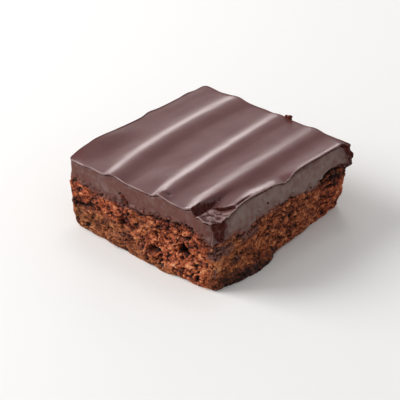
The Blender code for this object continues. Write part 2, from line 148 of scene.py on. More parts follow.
# Crumb: grains as size, relief and seed; pores as size, depth, seed and the share of seeds that open; worm
# holes as size, width, depth, seed and how far their cover reaches
GRAINS = ((2.4, 0.20, 11), (1.3, 0.14, 12), (0.8, 0.08, 13))
PORES = ((2.4, 1.4, 21, 0.24), (1.3, 0.8, 22, 0.28))
WORM_HOLES = ((2.0, 0.17, 1.0, 24, -0.1), (1.2, 0.19, 0.6, 26, -0.15))
SPLITS = {"long": 6.5, "high": 1.6, "width": 0.13, "depth": 1.3, "seed": 28}
FLATTENING = 1.5  # crumb is this much longer than it is high

# Icing ridges: steepest line at mid depth, its slope and bow (per mm) along Y, how far its front end hooks to
# +X, width of the rise, width of the fall in front and at the back, height in front and at the back. The third
# is a terrace: it rises with the second and falls beyond the last.
RIDGES = (
    (-22.7, -0.067, 0.0016, 0.2, 2.7, 7.6, 9.0, 1.4, 1.15),
    (2.85, -0.079, 0.0004, 0.9, 2.6, 6.0, 6.2, 1.0, 0.68),
    (2.85, -0.079, 0.0004, 0.9, 2.6, 25.0, 25.0, 0.85, 0.3),
    (20.6, -0.055, 0.0003, 1.3, 3.3, 7.0, 6.8, 1.75, 0.95),
)
FRONT_HOOK = 6.0  # length of a hooked front end
FRONT_LIFT = {"higher": 0.1, "narrower": 0.45}
CLIFF = {"x": 25.5, "width": 2.3, "wider": 1.7, "front": -33.0, "back": -17.0}  # the last ridge breaks off to +X
GROOVE = {"x": 28.2, "half": 1.6, "front": -37.0, "back": -8.0, "depth": 1.0}
BUMPS = (  # small rises and dents: x, y, half sizes, rise
    (-1.5, -30.0, 4.5, 7.0, 0.16),
    (9.2, -37.8, 1.5, 1.8, 0.35),
    (12.2, -37.3, 0.75, 0.9, -0.35),
)

# Icing edges
RIGHT_RIM = {
    "rise": 0.8,
    "place": 37.2,
    "half": 3.4,
    "broader": 2.4,
    "edge": 0.36,
    "edge_half": 1.8,
    "swell": 0.6,
    "swell_y": -17.0,
    "swell_half": 9.0,
    "wider": 0.9,
}
RIM_PINCH = {
    "middle": 1.8,
    "half": 4.2,
    "reach": 3.2,
    "drop": 1.0,
    "lean": 0.5,
    "wrinkle": 3.1,
    "skew": 0.5,
    "wrinkle_rise": 0.2,
}
CREASE = {"depth": 1.15, "x": 35.6, "half_x": 0.45, "y": -22.0, "half_y": 3.4}
LEFT_RIM = {"rise": 1.4, "half": 6.0, "y": -24.0, "half_y": 14.0, "everywhere": 0.35}
LEFT_CORNER = {"half": 5.0, "drop": 1.1}
RIGHT_LEAN = {"shift": 1.7, "further": 0.4}  # and that much further towards the back
LIP_REACH = 0.5
LIP_THICKNESS = 0.3
BEAD = {"rise": 0.24, "from_edge": 0.38, "half": 0.35}
HIGHLIGHT_EDGE = {"from_edge": 0.12, "half": 0.22}  # where the painted highlight lies on the lip's raised edge
SKIN_REACH = 0.3  # how far the skin reaches down over the lip
DARK_ICING_SHARE = 0.55  # faces with more wet icing and painted shade than this take the dark icing
DARK_ICING_EDGE = 0.4  # how raggedly it starts
DARK_ICING_SEED = 34
LIP_GROOVE = {"depth": 0.45, "below": 0.55, "half": 0.28}
LIP_TUCKS = ((38.0, -26.0, 10.0, 1.2), (38.0, 14.0, 12.0, 1.5), (-2.0, -40.5, 10.0, 0.9))  # deeper undercuts: x, y, half length, share
CRUMBED_SHARE = 0.4
BACK_OVERHANG = {"start": 22.0, "higher": 15.6, "end": 40.2, "shift": 2.6}  # it starts further back higher up
LEFT_WAVES = ((8.0, 4.0, 1.2), (28.0, 7.0, 0.4))
CORNER_LOSS = {"half": 3.8, "reach": 1.7}
CORNER_RUNS = {"place": 79.3, "half": 2.8, "wider": 2.8, "relief": 0.7}
CORNER_TORN = {"x": 37.3, "y": -39.8, "half": 3.6, "drop": 1.6}
BACK_DRIP = {"place": 156.2, "half": 3.2, "relief": 0.8, "proud": 0.9}  # along the outline

# The front right corner, where the icing's skin tore away: the tear's edge, closed beyond the corner
TEAR_EDGE = (
    (26.6, -46.0),
    (26.8, -38.6),
    (27.4, -34.2),
    (28.4, -32.4),
    (30.7, -31.0),
    (33.2, -29.2),
    (34.6, -27.0),
    (36.0, -26.2),
    (38.0, -27.6),
    (46.0, -30.0),
    (46.0, -46.0),
)
TORN = {
    "strip_x": 35.9,  # from here out the tear fades along Y instead
    "strip_front": -31.0,
    "strip_back": -18.5,
    "level": 28.25,
    "x": 34.7,
    "fall_x": 0.22,
    "y": -31.0,
    "fall_y": 0.28,
    "folds": 0.85,
    "curl": 0.1,
    "crevice": 0.45,
    "heaped": 0.45,
    "heap": 2.6,
    "heap_half": 1.7,
}

# Crumbs stuck to the icing: place along the outline, height, width
STUCK_CRUMBS = (
    (27.4, 24.4, 1.3),
    (28.6, 23.2, 1.7),
    (29.6, 22.3, 1.2),
    (30.4, 21.1, 1.6),
    (31.6, 20.2, 1.4),
    (28.2, 21.6, 0.9),
    (92.4, 18.6, 1.3),
    (96.6, 17.9, 1.1),
    (188.2, 31.0, 2.4),
    (189.6, 30.6, 1.8),
    (187.4, 30.2, 1.4),
)
STRAY_SEED = 33
BLOB_SIDES = 12
BLOB_RINGS = 7

# Camera, from the photograph
VIEW_AZIMUTH = np.radians(41.3)
VIEW_ELEVATION = np.radians(30.69)
VIEW_TARGET = (5.79, -12.43, 15.0)
LENS = 168.4

REPEAT = 80  # cells after which a random lattice repeats


def bell(value, middle, half):
    """One at the middle, falling to 1/e a half width away."""
    return np.exp(-(((value - middle) / half) ** 2))


def ramp(value, start, end):
    """Nought before start, one after end and a smooth S between."""
    t = np.clip((value - start) / (end - start), 0, 1)
    return t * t * (3 - 2 * t)


def around(along, place):
    """Signed distance along the outline from a place, the short way round."""
    return (along - place + PERIMETER / 2) % PERIMETER - PERIMETER / 2


def soft_noise(points, size, seed):
    """Value noise from -1 to 1: random values on a cubic lattice, blended by an S curve between corners.

    The size of a cell is one number or one for each axis.
    """
    values = np.random.default_rng(seed).uniform(-1, 1, (REPEAT,) * 3)
    place = points / np.asarray(size, float)
    cell = np.floor(place).astype(int)
    t = place - cell
    t = t * t * (3 - 2 * t)
    total = np.zeros(points.shape[:-1])
    for corner in product((0, 1), repeat=3):
        weight = np.prod(np.where(corner, t, 1 - t), axis=-1)
        index = (cell + corner) % REPEAT
        total += weight * values[index[..., 0], index[..., 1], index[..., 2]]
    return total


def scattered_seeds(points, size, seed):
    """Distances, in cells, to the nearest and next nearest of seeds scattered one to a cell of a lattice, and
    the nearest seed's own random number."""
    drawn = np.random.default_rng(seed).random((REPEAT, REPEAT, REPEAT, 4))
    place = points / np.asarray(size, float)
    cell = np.floor(place).astype(int)
    first = np.full(points.shape[:-1], 9.0)
    second = first.copy()
    own = np.zeros_like(first)
    for step in product((-1, 0, 1), repeat=3):
        index = cell + step
        here = index % REPEAT
        there = drawn[here[..., 0], here[..., 1], here[..., 2]]
        distance = np.linalg.norm(index + there[..., :3] - place, axis=-1)
        closer = distance < first
        second = np.where(closer, first, np.minimum(second, distance))
        own = np.where(closer, there[..., 3], own)
        first = np.where(closer, distance, first)
    return first, second, own


def spaced(columns, length, dense_end):
    """Places from 0 to length, closer at both ends and towards the dense end: the inverse of a running sum of
    how dense they should be."""
    fine = np.linspace(0, length, 40 * columns)
    from_end = np.minimum(fine, length - fine)
    density = 1 + END_PACKING * np.exp(-from_end / END_REACH)
    density += CORNER_PACKING * bell(fine, dense_end, CORNER_REACH)
    running = np.concatenate([[0], np.cumsum((density[1:] + density[:-1]) / 2)])
    return np.interp(np.linspace(0, running[-1], columns + 1), running, fine)


def outline():
    """Points of the rounded rectangle, their outward normals, their places along it and the x and y places
    of the grid that fills it."""
    across = spaced(COLUMNS_X, WIDTH, WIDTH)
    deep = spaced(COLUMNS_Y, DEPTH, 0.0)
    corner = np.array((WIDTH, DEPTH)) / 2
    x = np.concatenate([
        across[:-1] - corner[0],
        np.full(COLUMNS_Y, corner[0]),
        across[:0:-1] - corner[0],
        np.full(COLUMNS_Y, -corner[0]),
    ])
    y = np.concatenate([
        np.full(COLUMNS_X, -corner[1]),
        deep[:-1] - corner[1],
        np.full(COLUMNS_X, corner[1]),
        deep[:0:-1] - corner[1],
    ])
    along = np.concatenate([
        across[:-1],
        WIDTH + deep[:-1],
        2 * WIDTH + DEPTH - across[:0:-1],
        PERIMETER - deep[:0:-1],
    ])
    points = np.stack([x, y], axis=1)
    core = np.clip(points, -(corner - CORNER_RADIUS), corner - CORNER_RADIUS)
    normals = (points - core) / np.linalg.norm(points - core, axis=1, keepdims=True)
    return core + CORNER_RADIUS * normals, normals, along, across, deep


def seam_height(edge, along):
    """Top of the cake where it meets the icing: a level plus a row of bells, and small waves of noise."""
    height = np.full_like(along, SEAM_LEVEL)
    for place, half, rise in SEAM_SWELLS:
        height += rise * bell(around(along, place), 0, half)
    on_side = np.column_stack([edge, height])
    for size, rise, seed in SEAM_RAGGED:
        height += rise * soft_noise(on_side, size, seed)
    return height


def lumps(along, height):
    """Broken crumb on the unrolled sides: paraboloids on a jittered grid, of which the highest one shows."""
    cells = round(PERIMETER / LUMP_LENGTH)
    levels = round(ICING_LEVEL / LUMP_HEIGHT) + 3
    draw = np.random.default_rng(LUMP_SEED)
    jitter = draw.uniform(0.1, 0.9, (cells, levels, 2))
    rise = draw.uniform(*LUMP_RISE, (cells, levels))
    u = along / PERIMETER * cells
    v = height / LUMP_HEIGHT + 1
    highest = np.zeros_like(u)
    for step_u, step_v in product((-1, 0, 1), repeat=2):
        i = np.floor(u).astype(int) + step_u
        j = np.floor(v).astype(int) + step_v
        centre = jitter[i % cells, j % levels]
        distance = (i + centre[..., 0] - u) ** 2 + (j + centre[..., 1] - v) ** 2
        highest = np.maximum(highest, rise[i % cells, j % levels] * (1 - distance))
    return highest - LUMP_RISE[1] / 2


def pits(along, height, points):
    """Depth of the holes: flat-bottomed bells over ellipses on the unrolled sides, whose outlines are pulled
    about by noise."""
    pull = np.stack([soft_noise(points, 1.6, 41), soft_noise(points, 1.6, 42)])
    depth = np.zeros_like(along)
    for place, level, half_length, half_height, deepest, slope in PITS:
        far = around(along, place) + 1.1 * pull[0]
        up = height - level - slope * far + 0.7 * pull[1]
        distance = np.hypot(far / half_length, up / half_height)
        depth = np.maximum(depth, deepest * (1 - ramp(distance, 0.45, 1.05)))
    return depth


def sides(x, y):
    """How much a point belongs to the right, left and front side: one on it, less towards the middle."""
    right = np.clip(2 * x / WIDTH, 0, 1) ** SIDE_POWER
    left = np.clip(-2 * x / WIDTH, 0, 1) ** SIDE_POWER
    front = np.clip(-2 * y / DEPTH, 0, 1) ** SIDE_POWER
    return right, left, front


def cake_shift(x, y, height):
    """How far the cake's sides move along X and Y for its foot and undercuts."""
    right, left, front = sides(x, y)
    foot = FRONT_FOOT["shift"] * bell(x, FRONT_FOOT["middle"], FRONT_FOOT["half"])
    foot = foot * bell(height, 0, FRONT_FOOT["height"])
    ledge = RIGHT_LEDGE["shift"] * bell(y, RIGHT_LEDGE["middle"], RIGHT_LEDGE["half"])
    ledge = ledge * bell(height, 0, RIGHT_LEDGE["height"])
    ledge = ledge * (1 - ramp(y, RIGHT_LEDGE["start"], RIGHT_LEDGE["end"]))
    undercut = RIGHT_UNDERCUT["shift"] * ramp(y, RIGHT_UNDERCUT["start"], RIGHT_UNDERCUT["end"])
    undercut = undercut * (1 - ramp(height, 0, SEAM_LEVEL) / 2)
    shoulder = BACK_SHOULDER["shift"] * ramp(y, BACK_SHOULDER["start"], BACK_SHOULDER["end"])
    shoulder = shoulder * ramp(height, 0, BACK_SHOULDER["height"])
    bulge = LEFT_BULGE["shift"] * bell(height, LEFT_BULGE["height"], LEFT_BULGE["half"])
    taper = LEFT_TAPER["shift"] * bell(height, 0, LEFT_TAPER["height"])
    return (ledge - undercut + shoulder) * right + (taper - bulge) * left, -foot * front


def dense_crumb(points):
    """How dense the crumb is, 0 to 1: the front's lower left, much of the right side, and patches of noise."""
    x, y, z = np.moveaxis(points, -1, 0)
    patch = (1 - ramp(x, -16, 12)) * (1 - ramp(z, 8, 13)) * ramp(-y, 34, 38)
    right = 0.45 * ramp(x, 33, 37) * (1 - ramp(y, 16, 34)) + 0.3 * bell(np.hypot(x - 40, y + 32), 0, 10)
    patches = 0.8 * ramp(soft_noise(points, (15, 15, 8), 51), 0.05, 0.6)
    ragged = 0.25 * soft_noise(points, 2.5, 52)
    return np.clip(np.max([0.9 * patch, patches, right], axis=0) + ragged * (patch + patches + right), 0, 1)


def crumb(points, dense, relief):
    """Relief of the crumb along the normal, how deep each point lies in a hole (0 to 1), which the material darkens as
    painted shade, and its tone.

    Grains are cells round scattered seeds that fall away to their borders. Pores are round-bottomed holes at
    some seeds of wider lattices. Worm holes and splits lie where noise crosses nought, the splits' noise being
    stretched along the layers.
    """
    flattened = points * (1, 1, FLATTENING)
    height = np.zeros(points.shape[:-1])
    tone = np.zeros_like(height)
    hole = np.zeros_like(height)
    for size, rise, seed in GRAINS:
        near, following, own = scattered_seeds(flattened, size, seed)
        crown = ramp(following - near, 0.0, 0.5) - 0.5
        swell = soft_noise(flattened, size, seed + 40)
        height += rise * (1 - 0.4 * dense) * (0.6 * crown + 0.5 * (own - 0.5) + 0.9 * swell)
        # painted highlight: the tone is lighter where a grain's crown and swell stand out, as its height does, besides
        # a random tone for each grain
        tone += rise * (0.5 * crown + 1.6 * (own - 0.5) + 0.8 * swell)
    open_share = 1 - 0.7 * dense
    for size, depth, seed, share in PORES:
        near, _, own = scattered_seeds(flattened, size, seed)
        radius = 0.26 + 0.22 * own / share
        bowl = (own < share * open_share) * (1 - ramp(near / radius, 0.4, 1.1))
        height -= depth * bowl
        hole = np.maximum(hole, bowl * (0.55 + 0.45 * depth / PORES[0][1]))
    for size, width, depth, seed, cover in WORM_HOLES:
        line = np.abs(soft_noise(flattened, size, seed)) / (width * (0.4 + 0.6 * open_share))
        where = ramp(soft_noise(points, 1.6 * size, seed + 1), cover, cover + 0.3)
        worm = where * (1 - ramp(line, 0.35, 1.1))
        height -= depth * worm
        hole = np.maximum(hole, worm * (0.5 + 0.4 * depth))
    stretched = soft_noise(points, (SPLITS["long"], SPLITS["long"], SPLITS["high"]), SPLITS["seed"])
    stretched += 0.25 * soft_noise(points, 1.1, SPLITS["seed"] + 1)
    torn = 1 - ramp(np.abs(stretched) / SPLITS["width"], 0.3, 1.0)
    torn = torn * ramp(soft_noise(points, (9, 9, 5), SPLITS["seed"] + 2), 0.0, 0.5) * open_share
    height -= SPLITS["depth"] * torn
    hole = np.maximum(hole, 0.8 * torn)
    return relief * height, hole, tone


def cake_surface(edge, normals, along, height, relief):
    """The cake's side at given heights: the CAD outline with its lumps and holes, and the crumb's relief along
    the normals. Returns points and the shares that colour them."""
    x, y = edge[:, 0] + 0 * height, edge[:, 1] + 0 * height
    along = along + 0 * height
    shift_x, shift_y = cake_shift(x, y, height)
    base = np.stack([x + shift_x, y + shift_y, height], axis=-1)
    dense = dense_crumb(base)
    rise, hole, tone = crumb(base, dense, relief)
    crust = ramp(x, 33, 37) * (1 - ramp(y, -8, -3)) * (1 - ramp(height + 1.5 * soft_noise(base, 2.0, 53), 2.5, 5.5))
    bright = 0.12 * ramp(x, -14, 4) * ramp(-y, 34, 38) * (1 - ramp(height, 10, 15))
    # tone: lighter low on the front from its middle rightwards, darker in the crust at the right foot, and painted
    # shadow under the icing's overhang near the back right
    tone = tone + bright - 0.4 * crust - 0.3 * bell(around(along, 149.5), 0, 7) * ramp(height, 12, 18)
    pit = pits(along, height, base)
    rounding = FOOT_ROUNDING * (1 - ramp(height, 0, 2 * FOOT_ROUNDING))
    foot = 1 - 0.6 * (1 - ramp(height, 0, 1.5))
    reach = lumps(along, height) - pit - rounding + rise * foot
    points = base.copy()
    points[..., :2] += normals * reach[..., None]
    # hole takes the pits' depth too: the material darkens all of it as painted shade
    return points, {"hole": np.clip(np.maximum(hole, pit / 2.2), 0, 1), "tone": tone, "dense": dense}


def crest_line(ridge, y):
    """Where a ridge's rising flank is steepest: a parabola along Y that hooks aside at its front end."""
    middle, slope, bow, hooked = ridge[:4]
    return middle + slope * y + bow * y**2 + hooked * bell(y, -DEPTH / 2, FRONT_HOOK)


def ridges(x, y):
    """Height of the ridges: each rises towards +X as a hyperbolic tangent and falls off again as e to the minus
    cube of the distance. Their front ends, where the knife lifted, are higher and steeper, and the last one
    breaks off in a cliff."""
    height = np.zeros_like(x)
    share = (y + DEPTH / 2) / DEPTH
    lifted = bell(y, -DEPTH / 2, FRONT_HOOK)
    for ridge in RIDGES:
        rise_width, fall_front, fall_back, front, back = ridge[4:]
        offset = x - crest_line(ridge, y)
        rising = (1 + np.tanh(offset / (rise_width * (1 - FRONT_LIFT["narrower"] * lifted)))) / 2
        fall_width = fall_front + (fall_back - fall_front) * share
        falling = np.exp(-((np.maximum(offset, 0) / fall_width) ** 3))
        height += (front + (back - front) * share) * (1 + FRONT_LIFT["higher"] * lifted) * rising * falling
    width = CLIFF["width"] + CLIFF["wider"] * (1 - ramp(y, -39.5, -35.5))
    cliff = ramp(x, CLIFF["x"], CLIFF["x"] + width) * (1 - ramp(y, CLIFF["front"], CLIFF["back"]))
    return height * (1 - cliff)


def into_tear(x, y):
    """How far a point lies inside the torn corner, negative outside it: its distance to the tear's edge, whose
    sign comes from how often a line towards +X crosses that edge."""
    nearest = np.full(x.shape, WIDTH)
    inside = np.zeros(x.shape, bool)
    for (x0, y0), (x1, y1) in zip(TEAR_EDGE, TEAR_EDGE[1:] + TEAR_EDGE[:1]):
        run, rise = x1 - x0, y1 - y0
        t = np.clip(((x - x0) * run + (y - y0) * rise) / (run**2 + rise**2), 0, 1)
        nearest = np.minimum(nearest, np.hypot(x - x0 - t * run, y - y0 - t * rise))
        before = ((x - x0) * rise < (y - y0) * run) == (rise > 0)
        inside ^= ((y0 > y) != (y1 > y)) & before
    flat = np.stack([x, y, np.zeros_like(x)], axis=-1)
    return np.where(inside, nearest, -nearest) + 0.35 * soft_noise(flat, 1.7, 61)


def at_corner(x, y):
    """Share by which a point lies at the torn corner itself: a bell of its distance."""
    return bell(np.hypot(x - CORNER_TORN["x"], y - CORNER_TORN["y"]), 0, CORNER_TORN["half"])


def at_back_corner(x, y):
    """Share by which a point lies at the back right corner, where the icing broke off: a bell of its distance."""
    return bell(np.hypot(x - WIDTH / 2, y - DEPTH / 2), 0, 3.4)


def torn_folds(x, y):
    """Rounded folds between sharp creases, where noise crosses nought: long across the corner and narrow
    towards it."""
    slant = np.stack([x + y, y - x, np.zeros_like(x)], axis=-1) / np.sqrt(2)
    return np.abs(soft_noise(slant, (3.0, 1.3, 2), 65)) + 0.42 * np.abs(soft_noise(slant, (1.1, 0.6, 1), 66))


def torn_floor(x, y, inwards):
    """The torn corner's floor: it falls towards the front and the corner, smooth under the tear's edge and
    folded further in."""
    slope = TORN["fall_x"] * np.clip(TORN["x"] - x, 0, None) + TORN["fall_y"] * np.clip(y - TORN["y"], 0, None)
    heaped = TORN["heaped"] * bell(inwards, TORN["heap"], TORN["heap_half"])
    folds = TORN["folds"] * (torn_folds(x, y) - 0.3) * ramp(inwards, 2.0, 4.0)
    return TORN["level"] + slope + heaped + folds - CORNER_TORN["drop"] * at_corner(x, y)


def painted_edge_highlight(x, y, from_edge):
    """Share of painted highlight, pale, on the icing: a bell across the lip times noise along it, more round the
    tear but for the corner itself and the cliff's foot, and on the crests of the folds in the tear."""
    place = np.stack([x, y, np.zeros_like(x)], axis=-1)
    patchy = np.clip(0.7 + 0.6 * soft_noise(place, 3.5, 87), 0, 1)
    round_tear = ramp(x, 26, 30) * (1 - ramp(y, -24, -18))
    cliff = bell(x, 27.2, 1.8) * (1 - ramp(y, -38, -36))
    share = np.maximum(patchy, round_tear) * (1 - cliff)
    half = HIGHLIGHT_EDGE["half"] * (1 + 0.6 * round_tear * ramp(x, 34, 36))
    share = share * bell(from_edge, HIGHLIGHT_EDGE["from_edge"], half) * (1 - ramp(at_corner(x, y), 0.2, 0.5))
    crests = ramp(torn_folds(x, y), 0.34, 0.62) * ramp(into_tear(x, y), 1.6, 3.2)
    return np.maximum(share, 0.85 * crests * (1 - ramp(at_corner(x, y), 0.6, 0.85)))


def torn_and_painted_shade(x, y):
    """Share of the top painted dark: painted shade on the cliff's face, in the crease in the rim, the crevice under
    the tear's edge, the creases between its folds and the dent, and at the back corner; and the dark torn
    corner at the tear's end."""
    inwards = into_tear(x, y)
    reach = CLIFF["width"] * (0.5 + 0.5 * (1 - ramp(y, -37, -33)))
    cliff = bell(x, CLIFF["x"] + 0.85 * CLIFF["width"], reach) * (1 - ramp(y, CLIFF["front"] - 1, CLIFF["back"] - 2))
    crease = bell(x, CREASE["x"], 1.2 * CREASE["half_x"]) * bell(y, CREASE["y"], CREASE["half_y"])
    crevice = bell(inwards, 0.25, 0.28) * (1 - ramp(x, TORN["strip_x"] - 0.8, TORN["strip_x"]))
    creases = 0.5 * (1 - ramp(torn_folds(x, y), 0.06, 0.22)) * ramp(inwards, 1.0, 2.0)
    dent = BUMPS[-1]
    dented = 0.7 * bell(x, dent[0], 1.2 * dent[2]) * bell(y, dent[1], 1.2 * dent[3])
    corners = at_corner(x, y) + at_back_corner(x, y)
    return np.max([cliff, 0.9 * crease, crevice, creases, dented, corners], axis=0)


def icing_top(x, y):
    """Height of the icing's top: ridges, a groove beside the last of them, raised rims, a pinched, wrinkled
    and creased right one, small bumps, slow waves and the torn corner with its curled edge."""
    flat = np.stack([x, y, np.zeros_like(x)], axis=-1)
    groove = GROOVE["depth"] * bell(x, GROOVE["x"], GROOVE["half"])
    groove = groove * (1 - ramp(y, GROOVE["front"], GROOVE["back"]))
    swell = bell(y, RIGHT_RIM["swell_y"], RIGHT_RIM["swell_half"])
    half = RIGHT_RIM["half"] + RIGHT_RIM["wider"] * swell + RIGHT_RIM["broader"] * ramp(y, -2, 12)
    rim = bell(x, RIGHT_RIM["place"], half)
    rim = rim * (RIGHT_RIM["rise"] + RIGHT_RIM["swell"] * swell) * (0.5 + 0.5 * ramp(y, -32, -22))
    edge = RIGHT_RIM["edge"] * bell(x, RIGHT_RIM["place"], RIGHT_RIM["edge_half"]) * ramp(y, 4, 16)
    rim = (rim + edge) * (1 - ramp(y, 36.5, 40.5))
    pinched = bell(y, RIM_PINCH["middle"], RIM_PINCH["half"]) * bell(x, WIDTH / 2, RIM_PINCH["reach"])
    wrinkles = np.sin(2 * np.pi * (y + RIM_PINCH["skew"] * x) / RIM_PINCH["wrinkle"])
    pinch = (RIM_PINCH["drop"] + RIM_PINCH["wrinkle_rise"] * wrinkles) * pinched
    crease = CREASE["depth"] * bell(x, CREASE["x"], CREASE["half_x"]) * bell(y, CREASE["y"], CREASE["half_y"])
    left = LEFT_RIM["everywhere"] + LEFT_RIM["rise"] * bell(y, LEFT_RIM["y"], LEFT_RIM["half_y"])
    left = left * bell(x, -WIDTH / 2, LEFT_RIM["half"])
    left -= LEFT_CORNER["drop"] * bell(np.hypot(x + WIDTH / 2, y + DEPTH / 2), 0, LEFT_CORNER["half"])
    bumps = sum(rise * bell(x, bx, half_x) * bell(y, by, half_y) for bx, by, half_x, half_y, rise in BUMPS)
    waves = 0.10 * soft_noise(flat, (9, 16, 9), 63) + 0.025 * soft_noise(flat, (2.2, 7, 2), 64)
    inwards = into_tear(x, y)
    curl = TORN["curl"] * bell(inwards, -0.5, 0.45) - TORN["crevice"] * bell(inwards, 0.5, 0.3)
    whole = ICING_LEVEL + ridges(x, y) - groove + rim - pinch - crease + left + bumps + waves
    strip = ramp(x, TORN["strip_x"], TORN["strip_x"] + 0.8)
    torn = ramp(inwards, -0.1, 0.55) * (1 - strip) + (1 - ramp(y, TORN["strip_front"], TORN["strip_back"])) * strip
    curl = curl * (1 - strip)
    return whole * (1 - torn) + np.minimum(torn_floor(x, y, inwards), whole + 0.3) * torn + curl


def lip_share(x, y):
    """How far the icing's lip stands proud at a place on the outline: noise round one, more on the right."""
    place = np.stack([x, y, np.zeros_like(x)], axis=-1)
    right = ramp(x, 33, 36) * ramp(y, 0, 10)
    whole = (1 - at_corner(x, y)) * (1 - 0.9 * at_back_corner(x, y))
    return (0.9 + 0.55 * soft_noise(place, 5.0, 71) + 0.3 * right) * whole


def lip_tucked(x, y):
    """How much deeper than elsewhere the groove under the lip is: one plus bells round the places it tucks in."""
    return 1 + sum(deeper * bell(np.hypot(x - tx, y - ty), 0, half) for tx, ty, half, deeper in LIP_TUCKS)


def icing_side(edge, normals, along, share, below):
    """The icing's outline at a share of its height and a distance below its brim: a leaning right wall, a wavy
    left one, an overhang at the back right, a worn corner with runs of icing, a thin lip with a groove under
    it and the knife's marks."""
    x, y = edge[:, 0] + 0 * share, edge[:, 1] + 0 * share
    right, left, _ = sides(x, y)
    lean = RIGHT_LEAN["shift"] + RIGHT_LEAN["further"] * ramp(y, 8, 24)
    lean = lean * (1 - RIM_PINCH["lean"] * bell(y, RIM_PINCH["middle"], RIM_PINCH["half"]))
    start = BACK_OVERHANG["start"] + BACK_OVERHANG["higher"] * share
    overhang = BACK_OVERHANG["shift"] * ramp(y, start, BACK_OVERHANG["end"])
    waves = sum(wave * bell(y, middle, half) for middle, half, wave in LEFT_WAVES)
    on_side = np.stack([x, y, -below], axis=-1)
    from_corner = around(along, WIDTH) + 0 * share
    worn = CORNER_LOSS["reach"] * bell(from_corner, 0, CORNER_LOSS["half"]) * (1 - 0.6 * ramp(below, 3, 8))
    runs = soft_noise(np.stack([from_corner, from_corner, -below / 4], axis=-1), 1.3, 75)
    from_runs = around(along, CORNER_RUNS["place"])
    runs = CORNER_RUNS["relief"] * np.abs(runs) * bell(from_runs, 0, CORNER_RUNS["half"] + CORNER_RUNS["wider"])
    drips = soft_noise(np.stack([from_corner, from_corner, -below / 1.2], axis=-1), 1.2, 76)
    dripping = bell(around(along, BACK_DRIP["place"]), 0, BACK_DRIP["half"])
    runs = runs + (BACK_DRIP["relief"] * drips + BACK_DRIP["proud"]) * dripping
    proud = lip_share(x, y)
    lip = LIP_REACH * proud * (1 - ramp(below, 0.1, 0.45))
    tucked = lip_tucked(x, y)
    groove = LIP_GROOVE["depth"] * proud * tucked * bell(below, LIP_GROOVE["below"], LIP_GROOVE["half"] * tucked)
    marks = 0.16 * soft_noise(on_side, (5, 5, 7), 72) + 0.09 * soft_noise(on_side, 2.1, 73)
    marks = marks + 0.04 * soft_noise(on_side, (0.8, 0.8, 1.6), 74)
    reach = lip - groove - worn + runs + marks * ramp(below, 0.3, 1.2)
    points = np.stack([x + (overhang - lean * share**2) * right - waves * left, y], axis=-1)
    return points + normals * reach[..., None]


def wall_faces(first, rings, columns):
    """Quads between rings of points stacked from the bottom up, facing outwards."""
    index = first + np.arange(rings * columns).reshape(rings, columns)
    after = np.roll(index, -1, axis=1)
    return np.stack([index[:-1], after[:-1], after[1:], index[1:]], axis=-1).reshape(-1, 4)


def fan_faces(ring, columns, pole):
    """Triangles facing up from a ring of points to a pole inside it."""
    here = ring + np.arange(columns)
    return np.stack([here, np.roll(here, -1), np.full(columns, pole)], axis=1)


def make_piece(name, points, quads, triangles, materials, shares=None, slots=None):
    """A smooth-shaded mesh object in the frame, with each named share as a point attribute and each face's
    material slot."""
    placed = (points - np.array((*OUTLINE_CENTRE, 0))) * MM
    corners = np.concatenate([quads.ravel(), triangles.ravel()]).astype(np.int32)
    sizes = np.concatenate([np.full(len(quads), 4), np.full(len(triangles), 3)]).astype(np.int32)
    mesh = bpy.data.meshes.new(name)
    mesh.vertices.add(len(placed))
    mesh.vertices.foreach_set("co", placed.astype(np.float32).ravel())
    mesh.loops.add(len(corners))
    mesh.loops.foreach_set("vertex_index", corners)
    mesh.polygons.add(len(sizes))
    mesh.polygons.foreach_set("loop_start", np.cumsum(sizes) - sizes)
    mesh.update(calc_edges=True)
    mesh.validate()
    for share, values in (shares or {}).items():
        layer = mesh.attributes.new(share, "FLOAT", "POINT")
        layer.data.foreach_set("value", values.astype(np.float32).ravel())
    mesh.shade_smooth()
    for material in materials:
        mesh.materials.append(material)
    if slots is not None:
        mesh.polygons.foreach_set("material_index", slots.astype(np.int32))
    piece = bpy.data.objects.new(name, mesh)
    bpy.context.scene.collection.objects.link(piece)
    return piece


def linear(colour):
    """An sRGB hex colour as linear red, green and blue."""
    srgb = np.array([int(colour[i : i + 2], 16) / 255 for i in (0, 2, 4)])
    return tuple(np.where(srgb <= 0.04045, srgb / 12.92, ((srgb + 0.055) / 1.055) ** 2.4))


def add(tree, kind, inputs=None, **settings):
    """Add a shader node, give it its settings, and set or link its inputs, named or numbered."""
    node = tree.nodes.new(kind)
    for name, value in settings.items():
        setattr(node, name, value)
    for key, value in (inputs or {}).items():
        if isinstance(value, bpy.types.NodeSocket):
            tree.links.new(value, node.inputs[key])
        else:
            node.inputs[key].default_value = value
    return node


# Sockets of a Mix node that blends colours
FACTOR, COLOUR_A, COLOUR_B, COLOUR_OUT = 0, 6, 7, 2


def new_material(name):
    """An empty node material with its output, and its tree."""
    material = bpy.data.materials.new(name)
    material.use_nodes = True
    material.node_tree.nodes.clear()
    return material, material.node_tree


def per_metre(millimetres):
    """The scale of a noise texture whose features are this long."""
    return 1 / (millimetres * MM)


